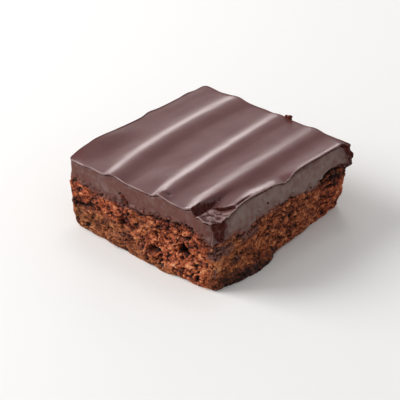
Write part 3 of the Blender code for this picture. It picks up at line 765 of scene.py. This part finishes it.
def baked_crumb(settings):
    """Baked cocoa cake, torn by the knife: dull open crumb whose grain tips are lighter and redder than its
    pores, with a few moist glints and smears of icing. Its holes are darkened towards the pore colour, as moist
    dark and painted shade, and its raised grains are lighter, as painted highlight."""
    material, tree = new_material("baked_cocoa_crumb")
    place = add(tree, "ShaderNodeTexCoord").outputs["Object"]
    speckle = add(tree, "ShaderNodeTexNoise", {"Vector": place, "Scale": per_metre(0.9), "Detail": 4.0})
    cloud = add(tree, "ShaderNodeTexNoise", {"Vector": place, "Scale": per_metre(6.0), "Detail": 2.0})
    tone = add(tree, "ShaderNodeAttribute", attribute_name="tone").outputs["Fac"]
    dense = add(tree, "ShaderNodeAttribute", attribute_name="dense").outputs["Fac"]
    hole = add(tree, "ShaderNodeAttribute", attribute_name="hole").outputs["Fac"]
    coat = add(tree, "ShaderNodeAttribute", attribute_name="coat").outputs["Fac"]
    lit = add(tree, "ShaderNodeMath", {0: tone, 1: 0.85, 2: 0.52}, operation="MULTIPLY_ADD").outputs[0]
    spread = {0: speckle.outputs["Fac"], 1: 0.9, 2: -0.45}
    flecks = add(tree, "ShaderNodeMath", spread, operation="MULTIPLY_ADD").outputs[0]
    lit = add(tree, "ShaderNodeMath", {0: lit, 1: flecks}, operation="ADD").outputs[0]
    # painted shade: the deeper in a hole, the darker the crumb, down to the pore colour
    spread = {0: hole, 1: -0.75, 2: lit}
    lit = add(tree, "ShaderNodeMath", spread, operation="MULTIPLY_ADD", use_clamp=True).outputs[0]
    reds = add(tree, "ShaderNodeValToRGB", {"Fac": lit})
    shades = ((0.0, settings.pore), (0.38, settings.shade), (0.62, settings.grain), (1.0, settings.tip))
    set_ramp(reds, shades)
    olives = add(tree, "ShaderNodeValToRGB", {"Fac": lit})
    set_ramp(olives, ((0.0, settings.pore), (0.45, settings.dense_shade), (0.9, settings.dense_tip)))
    spread = {0: cloud.outputs["Fac"], 1: 0.5, 2: dense}
    olive = add(tree, "ShaderNodeMath", spread, operation="MULTIPLY_ADD").outputs[0]
    olive = add(tree, "ShaderNodeMath", {0: olive, 1: 0.2}, operation="SUBTRACT", use_clamp=True).outputs[0]
    colours = {FACTOR: olive, COLOUR_A: reds.outputs["Color"], COLOUR_B: olives.outputs["Color"]}
    body = add(tree, "ShaderNodeMix", colours, data_type="RGBA").outputs[COLOUR_OUT]
    smears = add(tree, "ShaderNodeValToRGB", {"Fac": lit})
    set_ramp(smears, ((0.1, settings.pore), (0.5, settings.smear), (1.0, settings.smear_tip)))
    colours = {FACTOR: coat, COLOUR_A: body, COLOUR_B: smears.outputs["Color"]}
    body = add(tree, "ShaderNodeMix", colours, data_type="RGBA").outputs[COLOUR_OUT]
    moist = {"Value": speckle.outputs["Fac"], "From Min": 0.3, "From Max": 0.62, "To Min": 0.5, "To Max": 0.9}
    rough = add(tree, "ShaderNodeMapRange", moist).outputs["Result"]
    bump = {"Height": speckle.outputs["Fac"], "Strength": 0.6, "Distance": 0.25 * MM}
    normal = add(tree, "ShaderNodeBump", bump).outputs["Normal"]
    skin = {"Base Color": body, "Roughness": rough, "Normal": normal, "Specular IOR Level": 0.2}
    shader = add(tree, "ShaderNodeBsdfPrincipled", skin)
    add(tree, "ShaderNodeOutputMaterial", {"Surface": shader.outputs["BSDF"]})
    return material


def set_ramp(node, shades):
    """Give a colour ramp its places and linear colours."""
    stops = node.color_ramp.elements
    while len(stops) < len(shades):
        stops.new(1.0)
    for stop, (place, colour) in zip(stops, shades):
        stop.position = place
        stop.color = (*colour, 1)


def icing_skin(settings):
    """Poured icing set to a skin: smooth, and satin enough to mirror the studio softly. Darker and glossier where the
    skin tore away, and darker as painted shade in its creases, crevices, cliff and back corner. Paler as painted
    highlight on the lip's edge and the crests of the torn folds."""
    material, tree = new_material("set_icing_skin")
    place = add(tree, "ShaderNodeTexCoord").outputs["Object"]
    mottle = add(tree, "ShaderNodeTexNoise", {"Vector": place, "Scale": per_metre(7.0), "Detail": 4.0})
    grain = add(tree, "ShaderNodeTexNoise", {"Vector": place, "Scale": per_metre(0.8), "Detail": 3.0})
    wet_and_shade = add(tree, "ShaderNodeAttribute", attribute_name="wet_and_shade").outputs["Fac"]
    spread = {"Value": mottle.outputs["Fac"], "From Min": 0.35, "From Max": 0.7, "To Min": 0.0, "To Max": 0.5}
    cloudy = add(tree, "ShaderNodeMapRange", spread).outputs["Result"]
    colours = {FACTOR: cloudy, COLOUR_A: (*settings.top, 1), COLOUR_B: (*settings.bloom, 1)}
    body = add(tree, "ShaderNodeMix", colours, data_type="RGBA").outputs[COLOUR_OUT]
    # wet icing and painted shade: the torn icing's dark colour, also laid on as painted shade
    colours = {FACTOR: wet_and_shade, COLOUR_A: body, COLOUR_B: (*settings.wet_and_shade, 1)}
    body = add(tree, "ShaderNodeMix", colours, data_type="RGBA").outputs[COLOUR_OUT]
    # painted highlight: paler on the lip's edge and the crests of the torn folds
    painted_highlight = add(tree, "ShaderNodeAttribute", attribute_name="painted_highlight").outputs["Fac"]
    colours = {FACTOR: painted_highlight, COLOUR_A: body, COLOUR_B: (*settings.painted_highlight, 1)}
    body = add(tree, "ShaderNodeMix", colours, data_type="RGBA").outputs[COLOUR_OUT]
    spread = {"Value": wet_and_shade, "To Min": settings.top_roughness, "To Max": settings.wet_roughness}
    rough = add(tree, "ShaderNodeMapRange", spread).outputs["Result"]
    bump = {"Height": grain.outputs["Fac"], "Strength": 0.12, "Distance": 0.15 * MM}
    normal = add(tree, "ShaderNodeBump", bump).outputs["Normal"]
    skin = {"Base Color": body, "Roughness": rough, "Normal": normal, "IOR": 1.46}
    shader = add(tree, "ShaderNodeBsdfPrincipled", skin)
    add(tree, "ShaderNodeOutputMaterial", {"Surface": shader.outputs["BSDF"]})
    return material


def cut_icing(settings):
    """Set icing that the knife cut and scraped: duller and browner than its skin, greyed on the right wall as painted
    sheen, dark in its runs, darkened as painted shade under the lip and at the back corner's end, with crumb
    pulled into its lower edge."""
    material, tree = new_material("knife_cut_icing")
    place = add(tree, "ShaderNodeTexCoord").outputs["Object"]
    mottle = add(tree, "ShaderNodeTexNoise", {"Vector": place, "Scale": per_metre(2.2), "Detail": 6.0})
    grain = add(tree, "ShaderNodeTexNoise", {"Vector": place, "Scale": per_metre(0.7), "Detail": 4.0})
    painted_sheen = add(tree, "ShaderNodeAttribute", attribute_name="painted_sheen").outputs["Fac"]
    wet_and_shade = add(tree, "ShaderNodeAttribute", attribute_name="wet_and_shade").outputs["Fac"]
    crumbed = add(tree, "ShaderNodeAttribute", attribute_name="crumbed").outputs["Fac"]
    blotch = {"Value": mottle.outputs["Fac"], "From Min": 0.35, "From Max": 0.7, "To Min": -0.35, "To Max": 0.35}
    blotch = add(tree, "ShaderNodeMapRange", blotch).outputs["Result"]
    painted_sheen = add(tree, "ShaderNodeMath", {0: painted_sheen, 1: blotch}, operation="ADD", use_clamp=True).outputs[0]
    # painted sheen: the right wall greyer, mottled by the blotches
    colours = {FACTOR: painted_sheen, COLOUR_A: (*settings.side, 1), COLOUR_B: (*settings.dragged, 1)}
    body = add(tree, "ShaderNodeMix", colours, data_type="RGBA").outputs[COLOUR_OUT]
    # dark runs, and painted shade under the lip and at the back corner's end
    colours = {FACTOR: wet_and_shade, COLOUR_A: body, COLOUR_B: (*settings.wet_and_shade, 1)}
    body = add(tree, "ShaderNodeMix", colours, data_type="RGBA").outputs[COLOUR_OUT]
    colours = {FACTOR: crumbed, COLOUR_A: body, COLOUR_B: (*settings.crumbed, 1)}
    body = add(tree, "ShaderNodeMix", colours, data_type="RGBA").outputs[COLOUR_OUT]
    spread = {"Value": wet_and_shade, "To Min": settings.side_roughness, "To Max": settings.wet_roughness}
    rough = add(tree, "ShaderNodeMapRange", spread).outputs["Result"]
    bump = {"Height": grain.outputs["Fac"], "Strength": 0.35, "Distance": 0.25 * MM}
    normal = add(tree, "ShaderNodeBump", bump).outputs["Normal"]
    face = {"Base Color": body, "Roughness": rough, "Normal": normal, "Specular IOR Level": 0.3}
    shader = add(tree, "ShaderNodeBsdfPrincipled", face)
    add(tree, "ShaderNodeOutputMaterial", {"Surface": shader.outputs["BSDF"]})
    return material


def runs_and_shade_icing(settings):
    """Nearly black icing with brown strands: soft icing laid bare where it tore and ran, and a dark sheet of painted
    shade where the shade is deepest.
    """
    material, tree = new_material("dark_runs_and_shade_icing")
    place = add(tree, "ShaderNodeTexCoord").outputs["Object"]
    strands = add(tree, "ShaderNodeTexNoise", {"Vector": place, "Scale": per_metre(1.6), "Detail": 4.0})
    spread = {"Value": strands.outputs["Fac"], "From Min": 0.42, "From Max": 0.78}
    share = add(tree, "ShaderNodeMapRange", spread).outputs["Result"]
    colours = {FACTOR: share, COLOUR_A: (*settings.wet_and_shade, 1), COLOUR_B: (*settings.side, 1)}
    body = add(tree, "ShaderNodeMix", colours, data_type="RGBA").outputs[COLOUR_OUT]
    bump = {"Height": strands.outputs["Fac"], "Strength": 0.3, "Distance": 0.3 * MM}
    normal = add(tree, "ShaderNodeBump", bump).outputs["Normal"]
    face = {"Base Color": body, "Roughness": 0.35, "Normal": normal, "Specular IOR Level": 0.06}
    shader = add(tree, "ShaderNodeBsdfPrincipled", face)
    add(tree, "ShaderNodeOutputMaterial", {"Surface": shader.outputs["BSDF"]})
    return material


class CakeSettings(bpy.types.PropertyGroup):
    """Sizes and colours of the cake."""

    relief: FloatProperty(name="Crumb relief", description="How deep the crumb is", default=1.0, subtype="FACTOR")
    # pore colour: the crumb's moist dark, and painted shade deep in its holes
    pore: FloatVectorProperty(
        name="Pores", description="Deep in a pore", default=linear("1D0805"), size=3, subtype="COLOR"
    )
    shade: FloatVectorProperty(
        name="Between grains", description="Crumb in its own shade", default=linear("6C2C17"), size=3, subtype="COLOR"
    )
    grain: FloatVectorProperty(
        name="Grains", description="Most of the crumb", default=linear("A95430"), size=3, subtype="COLOR"
    )
    # grain tips: the lightest crumb, reached on raised grains as painted highlight
    tip: FloatVectorProperty(
        name="Grain tips", description="Lightest crumb", default=linear("D79A70"), size=3, subtype="COLOR"
    )
    dense_shade: FloatVectorProperty(
        name="Dense crumb", description="Moist dense crumb", default=linear("6E391E"), size=3, subtype="COLOR"
    )
    dense_tip: FloatVectorProperty(
        name="Dense tips", description="Light parts of dense crumb", default=linear("B57446"), size=3, subtype="COLOR"
    )
    smear: FloatVectorProperty(
        name="Smears", description="Icing dragged over the crumb", default=linear("583733"), size=3, subtype="COLOR"
    )
    smear_tip: FloatVectorProperty(
        name="Smear tips", description="Light parts of the smears", default=linear("8C6862"), size=3, subtype="COLOR"
    )


class IcingSettings(bpy.types.PropertyGroup):
    """Sizes and colours of the icing."""

    top: FloatVectorProperty(
        name="Top", description="Skin of the icing", default=linear("5D3130"), size=3, subtype="COLOR"
    )
    bloom: FloatVectorProperty(
        name="Bloom", description="Faint cloudy patches", default=linear("68413F"), size=3, subtype="COLOR"
    )
    side: FloatVectorProperty(
        name="Cut sides", description="Cut faces of the icing", default=linear("5C3129"), size=3, subtype="COLOR"
    )
    # painted sheen: the grey laid on the right wall where the light's reflection falls
    dragged: FloatVectorProperty(
        name="Dragged", description="Greyed by the knife", default=linear("745F59"), size=3, subtype="COLOR"
    )
    # the dark colour of torn icing and runs, also used for painted shade on the top, under the lip and at the back
    # corner
    wet_and_shade: FloatVectorProperty(
        name="Torn", description="Under the skin and in runs", default=linear("3A120E"), size=3, subtype="COLOR"
    )
    # painted highlight: the pale colour laid on the lip's edge and the crests of the torn folds
    painted_highlight: FloatVectorProperty(
        name="Rubbed lip", description="Pale where the lip is rubbed", default=linear("A08480"), size=3, subtype="COLOR"
    )
    crumbed: FloatVectorProperty(
        name="Crumbed edge", description="Crumb dragged into the edge", default=linear("70392A"), size=3, subtype="COLOR"
    )
    top_roughness: FloatProperty(
        name="Top roughness", description="Blur of the top's sheen", default=0.33, min=0, max=1, subtype="FACTOR"
    )
    side_roughness: FloatProperty(
        name="Side roughness", description="Blur of the sides' sheen", default=0.5, min=0, max=1, subtype="FACTOR"
    )
    wet_roughness: FloatProperty(
        name="Torn roughness", description="Blur of the sheen where torn", default=0.24, min=0, max=1, subtype="FACTOR"
    )


class CrumbSettings(bpy.types.PropertyGroup):
    """The loose crumbs."""

    strays: IntProperty(name="Strays", description="Crumbs strewn along the seam", default=45, min=0)
    largest: FloatProperty(
        name="Largest stray", description="Its width", default=0.0016, unit="LENGTH", subtype="DISTANCE"
    )


class StageSettings(bpy.types.PropertyGroup):
    """The studio."""

    floor: FloatVectorProperty(
        name="Floor", description="Colour of the floor", default=linear("F4F3F1"), size=3, subtype="COLOR"
    )
    floor_size: FloatProperty(
        name="Floor size", description="Width of the floor", default=6.0, unit="LENGTH", subtype="DISTANCE"
    )
    camera_distance: FloatProperty(
        name="Camera distance", description="From the piece", default=0.734, unit="LENGTH", subtype="DISTANCE"
    )


class BROWNIE_OT_cake(bpy.types.Operator):
    """Bake the slab of cake and cut it."""

    bl_idname = "brownie.cake"
    bl_label = "Cake"

    def execute(self, context):
        settings = context.scene.brownie_cake
        edge, normals, along, _, _ = outline()
        columns = len(along)
        seam = seam_height(edge, along)
        share = np.linspace(0, 1, CAKE_ROWS + 1)[:, None]
        side, shares = cake_surface(edge, normals, along, seam * share, settings.relief)
        shoulder = np.column_stack([edge * SHOULDER_SHARE, seam - JOINT_GAP / 2])
        core = np.column_stack([edge * CORE_SHARE, np.full(columns, SEAM_LEVEL - JOINT_GAP / 2)])
        poles = np.array([(0, 0, SEAM_LEVEL - JOINT_GAP / 2), (0, 0, 0)])
        points = np.concatenate([side.reshape(-1, 3), shoulder, core, poles])
        rings = CAKE_ROWS + 3
        quads = wall_faces(0, rings, columns)
        top_fan = fan_faces((rings - 1) * columns, columns, len(points) - 2)
        base_fan = fan_faces(0, columns, len(points) - 1)[:, ::-1]
        triangles = np.concatenate([top_fan, base_fan])
        ragged = 0.7 * soft_noise(side, 1.5, 81) + 0.7 * soft_noise(side, (4, 4, 2), 82)
        coat = 0.85 * ramp(side[..., 2] - seam + ragged, -1.1, 0.3)
        for place, level, half_length, half_height, thick in SMEARS:
            smear = thick * bell(around(along, place), 0, half_length) * bell(side[..., 2], level, half_height)
            coat = np.maximum(coat, 0.85 * ramp(smear * (1 + 0.8 * ragged), 0.3, 0.75))
        shares["coat"] = coat
        hidden = np.zeros(2 * columns + 2)
        shares = {name: np.concatenate([values.ravel(), hidden]) for name, values in shares.items()}
        piece = make_piece("cake_crumb", points, quads, triangles, [baked_crumb(settings)], shares)
        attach(piece, "root")
        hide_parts("cake")
        return {"FINISHED"}


class BROWNIE_OT_icing(bpy.types.Operator):
    """Pour the icing and draw it out into ridges."""

    bl_idname = "brownie.icing"
    bl_label = "Icing"

    def execute(self, context):
        settings = context.scene.brownie_icing
        cake = context.scene.brownie_cake
        edge, normals, along, across, deep = outline()
        columns = len(along)
        seam = seam_height(edge, along)
        nought = np.zeros((1, columns))
        rim = icing_side(edge, normals, along, nought + 1, nought)[0]
        brim = icing_top(rim[:, 0], rim[:, 1]) - LIP_THICKNESS
        share = 1 - (1 - np.linspace(0, 1, ICING_ROWS + 1)[:, None]) ** LIP_PACKING
        height = seam + (brim - seam) * share
        below = brim - height
        own = ramp(share, 0, CRUMBED_SHARE)
        flush, shares = cake_surface(edge, normals, along, height, cake.relief)
        wall = icing_side(edge, normals, along, share, below)
        wall = wall * own[..., None] + flush[..., :2] * (1 - own[..., None])
        side = np.concatenate([wall, height[..., None]], axis=-1)
        grid = top_grid(rim)
        inner = grid[1:-1, 1:-1]
        from_edge = np.minimum(
            np.minimum(across, WIDTH - across)[None, 1:-1], np.minimum(deep, DEPTH - deep)[1:-1, None]
        )
        inward = 1 - np.clip(from_edge / LIP_THICKNESS, 0, 1)
        level = icing_top(inner[..., 0], inner[..., 1]) - LIP_THICKNESS * (1 - np.sqrt(1 - inward**2))
        level += BEAD["rise"] * lip_share(inner[..., 0], inner[..., 1]) * bell(from_edge, BEAD["from_edge"], BEAD["half"])
        top = np.concatenate([inner, level[..., None]], axis=-1).reshape(-1, 3)
        shoulder = np.column_stack([edge * SHOULDER_SHARE, seam + JOINT_GAP / 2])
        core = np.column_stack([edge * CORE_SHARE, np.full(columns, SEAM_LEVEL + JOINT_GAP / 2)])
        pole = np.array([(0, 0, SEAM_LEVEL + JOINT_GAP / 2)])
        points = np.concatenate([core, shoulder, side.reshape(-1, 3), top, pole])
        rings = ICING_ROWS + 3
        start = rings * columns
        index = np.empty(grid.shape[:2], int)
        index[1:-1, 1:-1] = start + np.arange(len(top)).reshape(inner.shape[:2])
        ring = start - columns + np.arange(columns)
        index[0, :] = ring[: COLUMNS_X + 1]
        index[:, -1] = ring[COLUMNS_X : COLUMNS_X + COLUMNS_Y + 1]
        index[-1, ::-1] = ring[COLUMNS_X + COLUMNS_Y : 2 * COLUMNS_X + COLUMNS_Y + 1]
        index[1:, 0] = ring[2 * COLUMNS_X + COLUMNS_Y :][::-1]
        cells = np.stack([index[:-1, :-1], index[:-1, 1:], index[1:, 1:], index[1:, :-1]], axis=-1)
        quads = np.concatenate([wall_faces(0, rings, columns), cells.reshape(-1, 4)])
        triangles = fan_faces(0, columns, len(points) - 1)[:, ::-1]
        hidden = np.zeros(2 * columns)
        on_top = np.zeros(len(top) + 1)
        ragged = 0.6 * soft_noise(side, 1.3, 83) + 0.6 * soft_noise(side, (4, 4, 2), 84)
        crumbed = 1 - ramp(height - seam + ragged, -0.2, 1.1)
        # painted sheen: the right wall greyed, less at the front corner, with clouds of noise
        right = ramp(side[..., 0], 30, 36) * (1 - 0.5 * bell(side[..., 1], -40, 7))
        cloud = soft_noise(side, (5, 5, 3), 85)
        painted_sheen = np.clip(0.75 * right + 0.3 * cloud, 0, 1)
        runs = bell(around(along, CORNER_RUNS["place"]), 0, CORNER_RUNS["half"] + CORNER_RUNS["wider"] * share**2)
        runs = runs * (1.05 + 0.45 * soft_noise(side, (1.2, 1.2, 5), 86))
        # painted shade: the rounded end of the wall at the back right corner, where the overhang broke off, is darkened
        # along its drips
        drip = bell(around(along, BACK_DRIP["place"]), 0, BACK_DRIP["half"])
        # painted highlight on the lip's edge of the walls and the top, and on the torn folds' crests
        painted_highlight = painted_edge_highlight(side[..., 0], side[..., 1], 0) * (1 - ramp(below, 0.05, 0.3))
        painted_highlight_top = painted_edge_highlight(inner[..., 0], inner[..., 1], from_edge)
        # painted shadow under the lip, deeper where the lip tucks in
        shade_under_lip = bell(below, LIP_GROOVE["below"], 0.3)
        tucked = lip_tucked(side[..., 0], side[..., 1])
        shade_under_lip = shade_under_lip * np.clip(1.4 * lip_share(side[..., 0], side[..., 1]) - 0.5 + 0.4 * tucked, 0, 1.3)
        # the walls' share of dark: runs of icing, with painted shade at the back corner's end and under the lip
        wet_and_shade = np.clip(np.maximum(np.maximum(runs, drip) - 0.2 * np.abs(cloud), shade_under_lip), 0, 1)
        shares = {
            "crumbed": np.concatenate([hidden, crumbed.ravel(), on_top]),
            "painted_sheen": np.concatenate([hidden, painted_sheen.ravel(), on_top]),
            # the top: painted shade and the dark torn corner
            "wet_and_shade": np.concatenate([hidden, wet_and_shade.ravel(), torn_and_painted_shade(top[:, 0], top[:, 1]), [0]]),
            "painted_highlight": np.concatenate([hidden, painted_highlight.ravel(), painted_highlight_top.ravel(), [0]]),
        }
        cut = np.concatenate([np.ones((2, columns)), below[:-1] > SKIN_REACH])
        slots = np.concatenate([cut.ravel(), np.zeros(len(quads) - cut.size)])
        # the darkest faces, of torn icing and painted shade, take the near-black icing
        bay = DARK_ICING_EDGE * soft_noise(points[quads].mean(axis=1), (0.5, 0.5, 1.1), DARK_ICING_SEED)
        slots = np.where(shares["wet_and_shade"][quads].mean(axis=1) + bay > DARK_ICING_SHARE, 2, slots)
        slots = np.concatenate([slots, np.ones(len(triangles))])
        materials = [icing_skin(settings), cut_icing(settings), runs_and_shade_icing(settings)]
        piece = make_piece("icing_coat", points, quads, triangles, materials, shares, slots)
        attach(piece, "root")
        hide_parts("icing")
        return {"FINISHED"}


def top_grid(edge):
    """Points filling a closed edge: each blends the four sides of the edge, less the four corners."""
    front = edge[: COLUMNS_X + 1]
    right = edge[COLUMNS_X : COLUMNS_X + COLUMNS_Y + 1]
    back = edge[COLUMNS_X + COLUMNS_Y : 2 * COLUMNS_X + COLUMNS_Y + 1][::-1]
    left = np.concatenate([edge[2 * COLUMNS_X + COLUMNS_Y :], edge[:1]])[::-1]
    u = spaced(COLUMNS_X, WIDTH, WIDTH)[None, :, None] / WIDTH
    v = spaced(COLUMNS_Y, DEPTH, 0.0)[:, None, None] / DEPTH
    between_ends = (1 - v) * front[None] + v * back[None] + (1 - u) * left[:, None] + u * right[:, None]
    front_corners = (1 - v) * ((1 - u) * front[0] + u * front[-1])
    back_corners = v * ((1 - u) * back[0] + u * back[-1])
    return between_ends - front_corners - back_corners


def blobs(centres, sizes, seed):
    """Crumbs: spheres given by longitude and latitude, squashed and pulled about by noise, each turned its own
    way. Returns all their points and faces joined."""
    draw = np.random.default_rng(seed)
    u = np.linspace(0, 2 * np.pi, BLOB_SIDES, endpoint=False)
    v = np.linspace(-np.pi / 2, np.pi / 2, BLOB_RINGS + 2)[1:-1, None]
    ball = np.stack([np.cos(u) * np.cos(v), np.sin(u) * np.cos(v), np.sin(v) + 0 * u], axis=-1).reshape(-1, 3)
    ball = np.concatenate([ball, [(0, 0, -1), (0, 0, 1)]])
    spread = draw.uniform(0.55, 1.1, (len(centres), 1, 3))
    turn = np.linalg.qr(draw.normal(size=(len(centres), 3, 3)))[0]
    pulled = ball[None] * (1 + 0.45 * soft_noise(ball[None] + centres[:, None] * 7, 0.9, seed)[..., None])
    points = centres[:, None] + np.einsum("nij,nkj->nki", turn, pulled * spread) * sizes[:, None, None] / 2
    quads = wall_faces(0, BLOB_RINGS, BLOB_SIDES)
    bottom = fan_faces(0, BLOB_SIDES, len(ball) - 2)[:, ::-1]
    fans = np.concatenate([bottom, fan_faces((BLOB_RINGS - 1) * BLOB_SIDES, BLOB_SIDES, len(ball) - 1)])
    step = (len(ball) * np.arange(len(centres)))[:, None, None]
    return points.reshape(-1, 3), (quads + step).reshape(-1, 4), (fans + step).reshape(-1, 3)


class BROWNIE_OT_crumbs(bpy.types.Operator):
    """Scatter the crumbs that the knife dragged onto the icing."""

    bl_idname = "brownie.crumbs"
    bl_label = "Crumbs"

    def execute(self, context):
        settings = context.scene.brownie_crumbs
        edge, normals, along, _, _ = outline()
        draw = np.random.default_rng(STRAY_SEED)
        seam = seam_height(edge, along)
        column = draw.integers(0, len(along), settings.strays)
        rise = draw.gamma(1.0, 1.3, settings.strays)
        sizes = settings.largest / MM * draw.uniform(0.3, 1.0, settings.strays) ** 1.5
        stuck = np.array(STUCK_CRUMBS)
        column = np.concatenate([column, np.searchsorted(along, stuck[:, 0])])
        height = np.concatenate([seam[column[: settings.strays]] + rise, stuck[:, 1]])
        sizes = np.concatenate([sizes, stuck[:, 2]])
        edge, normals, along = edge[column], normals[column], along[column]
        brim = icing_top(edge[:, 0], edge[:, 1]) - LIP_THICKNESS
        share = np.clip((height - seam[column]) / (brim - seam[column]), 0, 1)
        flush, _ = cake_surface(edge, normals, along, height, context.scene.brownie_cake.relief)
        own = ramp(share, 0, CRUMBED_SHARE)[:, None]
        wall = icing_side(edge, normals, along, share, brim - height) * own + flush[:, :2] * (1 - own)
        centres = np.column_stack([wall + 0.1 * normals * sizes[:, None], height])
        points, quads, triangles = blobs(centres, sizes, STRAY_SEED)
        shares = {"tone": 0.3 * soft_noise(points, 0.7, 91) - 0.35}
        cake = baked_crumb(context.scene.brownie_cake)
        piece = make_piece("loose_crumbs", points, quads, triangles, [cake], shares)
        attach(piece, "root")
        return {"FINISHED"}


def area_light(name, direction, distance, size, power, colour=(1, 1, 1)):
    """A soft rectangular light that faces the piece and isn't seen itself."""
    light = bpy.data.lights.new(name, "AREA")
    light.shape = "RECTANGLE"
    light.size, light.size_y = size
    light.energy = power
    light.color = colour
    lamp = bpy.data.objects.new(name, light)
    towards = Vector(direction).normalized()
    lamp.location = towards * distance
    lamp.rotation_euler = towards.to_track_quat("Z", "Y").to_euler()
    lamp.visible_camera = False
    bpy.context.scene.collection.objects.link(lamp)


class BROWNIE_OT_stage(bpy.types.Operator):
    """Lay the floor, hang the lights and place the camera."""

    bl_idname = "brownie.stage"
    bl_label = "Studio"

    def execute(self, context):
        settings = context.scene.brownie_stage
        half = settings.floor_size / MM / 2
        corners = np.array([(-half, -half, 0), (half, -half, 0), (half, half, 0), (-half, half, 0)])
        material, tree = new_material("plain_matt_card")
        card = add(tree, "ShaderNodeBsdfPrincipled", {"Base Color": (*settings.floor, 1), "Roughness": 0.9})
        add(tree, "ShaderNodeOutputMaterial", {"Surface": card.outputs["BSDF"]})
        no_triangles = np.empty((0, 3), int)
        floor = make_piece("floor", corners, np.array([[0, 1, 2, 3]]), no_triangles, [material])
        world = bpy.data.worlds.new("studio")
        world.use_nodes = True
        tree = world.node_tree
        upward = add(tree, "ShaderNodeSeparateXYZ", {0: add(tree, "ShaderNodeTexCoord").outputs["Generated"]})
        fall = {"Value": upward.outputs["Z"], "From Min": 0.0, "From Max": 0.7, "To Min": 0.97, "To Max": 0.42}
        tree.links.new(
            add(tree, "ShaderNodeMapRange", fall).outputs["Result"], tree.nodes["Background"].inputs["Strength"]
        )
        tree.nodes["Background"].inputs["Color"].default_value = (1, 1, 1, 1)
        context.scene.world = world
        area_light("key", (-0.80, -0.45, 0.55), 1.4, (0.9, 0.9), 20)
        area_light("high_glow", (-0.24, 0.41, 0.88), 1.4, (0.3, 0.25), 1.0, (1, 0.94, 0.93))
        area_light("mid_glow", (-0.57, 0.65, 0.48), 1.4, (0.35, 0.2), 0.2, (1, 0.94, 0.93))
        area_light("back_glow", (-0.74, 0.65, 0.17), 1.5, (0.55, 0.16), 2.9, (1, 0.92, 0.91))
        camera = bpy.data.cameras.new("camera")
        camera.lens = LENS
        camera.sensor_width = 36
        camera.clip_end = 50
        seen_from = Vector((
            np.sin(VIEW_AZIMUTH) * np.cos(VIEW_ELEVATION),
            -np.cos(VIEW_AZIMUTH) * np.cos(VIEW_ELEVATION),
            np.sin(VIEW_ELEVATION),
        ))
        target = Vector(VIEW_TARGET) - Vector((*OUTLINE_CENTRE, 0))
        holder = bpy.data.objects.new("camera", camera)
        holder.location = target * MM + seen_from * settings.camera_distance
        holder.rotation_euler = seen_from.to_track_quat("Z", "Y").to_euler()
        context.scene.collection.objects.link(holder)
        context.scene.camera = holder
        context.scene.view_settings.view_transform = "Standard"
        return {"FINISHED"}


class BROWNIE_PT_panel(bpy.types.Panel):
    """Lists the steps and their settings in the sidebar."""

    bl_label = "Brownie"
    bl_idname = "BROWNIE_PT_panel"
    bl_space_type = "VIEW_3D"
    bl_region_type = "UI"
    bl_category = "Brownie"

    def draw(self, context):
        steps = (
            ("brownie.cake", context.scene.brownie_cake),
            ("brownie.icing", context.scene.brownie_icing),
            ("brownie.crumbs", context.scene.brownie_crumbs),
            ("brownie.stage", context.scene.brownie_stage),
        )
        for step, settings in steps:
            box = self.layout.box()
            box.operator(step)
            for name in settings.bl_rna.properties.keys():
                if name not in ("rna_type", "name"):
                    box.prop(settings, name)


CLASSES = (
    CakeSettings,
    IcingSettings,
    CrumbSettings,
    StageSettings,
    BROWNIE_OT_cake,
    BROWNIE_OT_icing,
    BROWNIE_OT_crumbs,
    BROWNIE_OT_stage,
    BROWNIE_PT_panel,
)


def register():
    for entry in CLASSES:
        bpy.utils.register_class(entry)
    bpy.types.Scene.brownie_cake = PointerProperty(type=CakeSettings)
    bpy.types.Scene.brownie_icing = PointerProperty(type=IcingSettings)
    bpy.types.Scene.brownie_crumbs = PointerProperty(type=CrumbSettings)
    bpy.types.Scene.brownie_stage = PointerProperty(type=StageSettings)


def unregister():
    del bpy.types.Scene.brownie_stage
    del bpy.types.Scene.brownie_crumbs
    del bpy.types.Scene.brownie_icing
    del bpy.types.Scene.brownie_cake
    for entry in reversed(CLASSES):
        bpy.utils.unregister_class(entry)


def main():
    """Make every piece and the studio."""
    register()
    bpy.ops.brownie.cake()
    bpy.ops.brownie.icing()
    bpy.ops.brownie.crumbs()
    bpy.ops.brownie.stage()


if __name__ == "__main__":
    main()
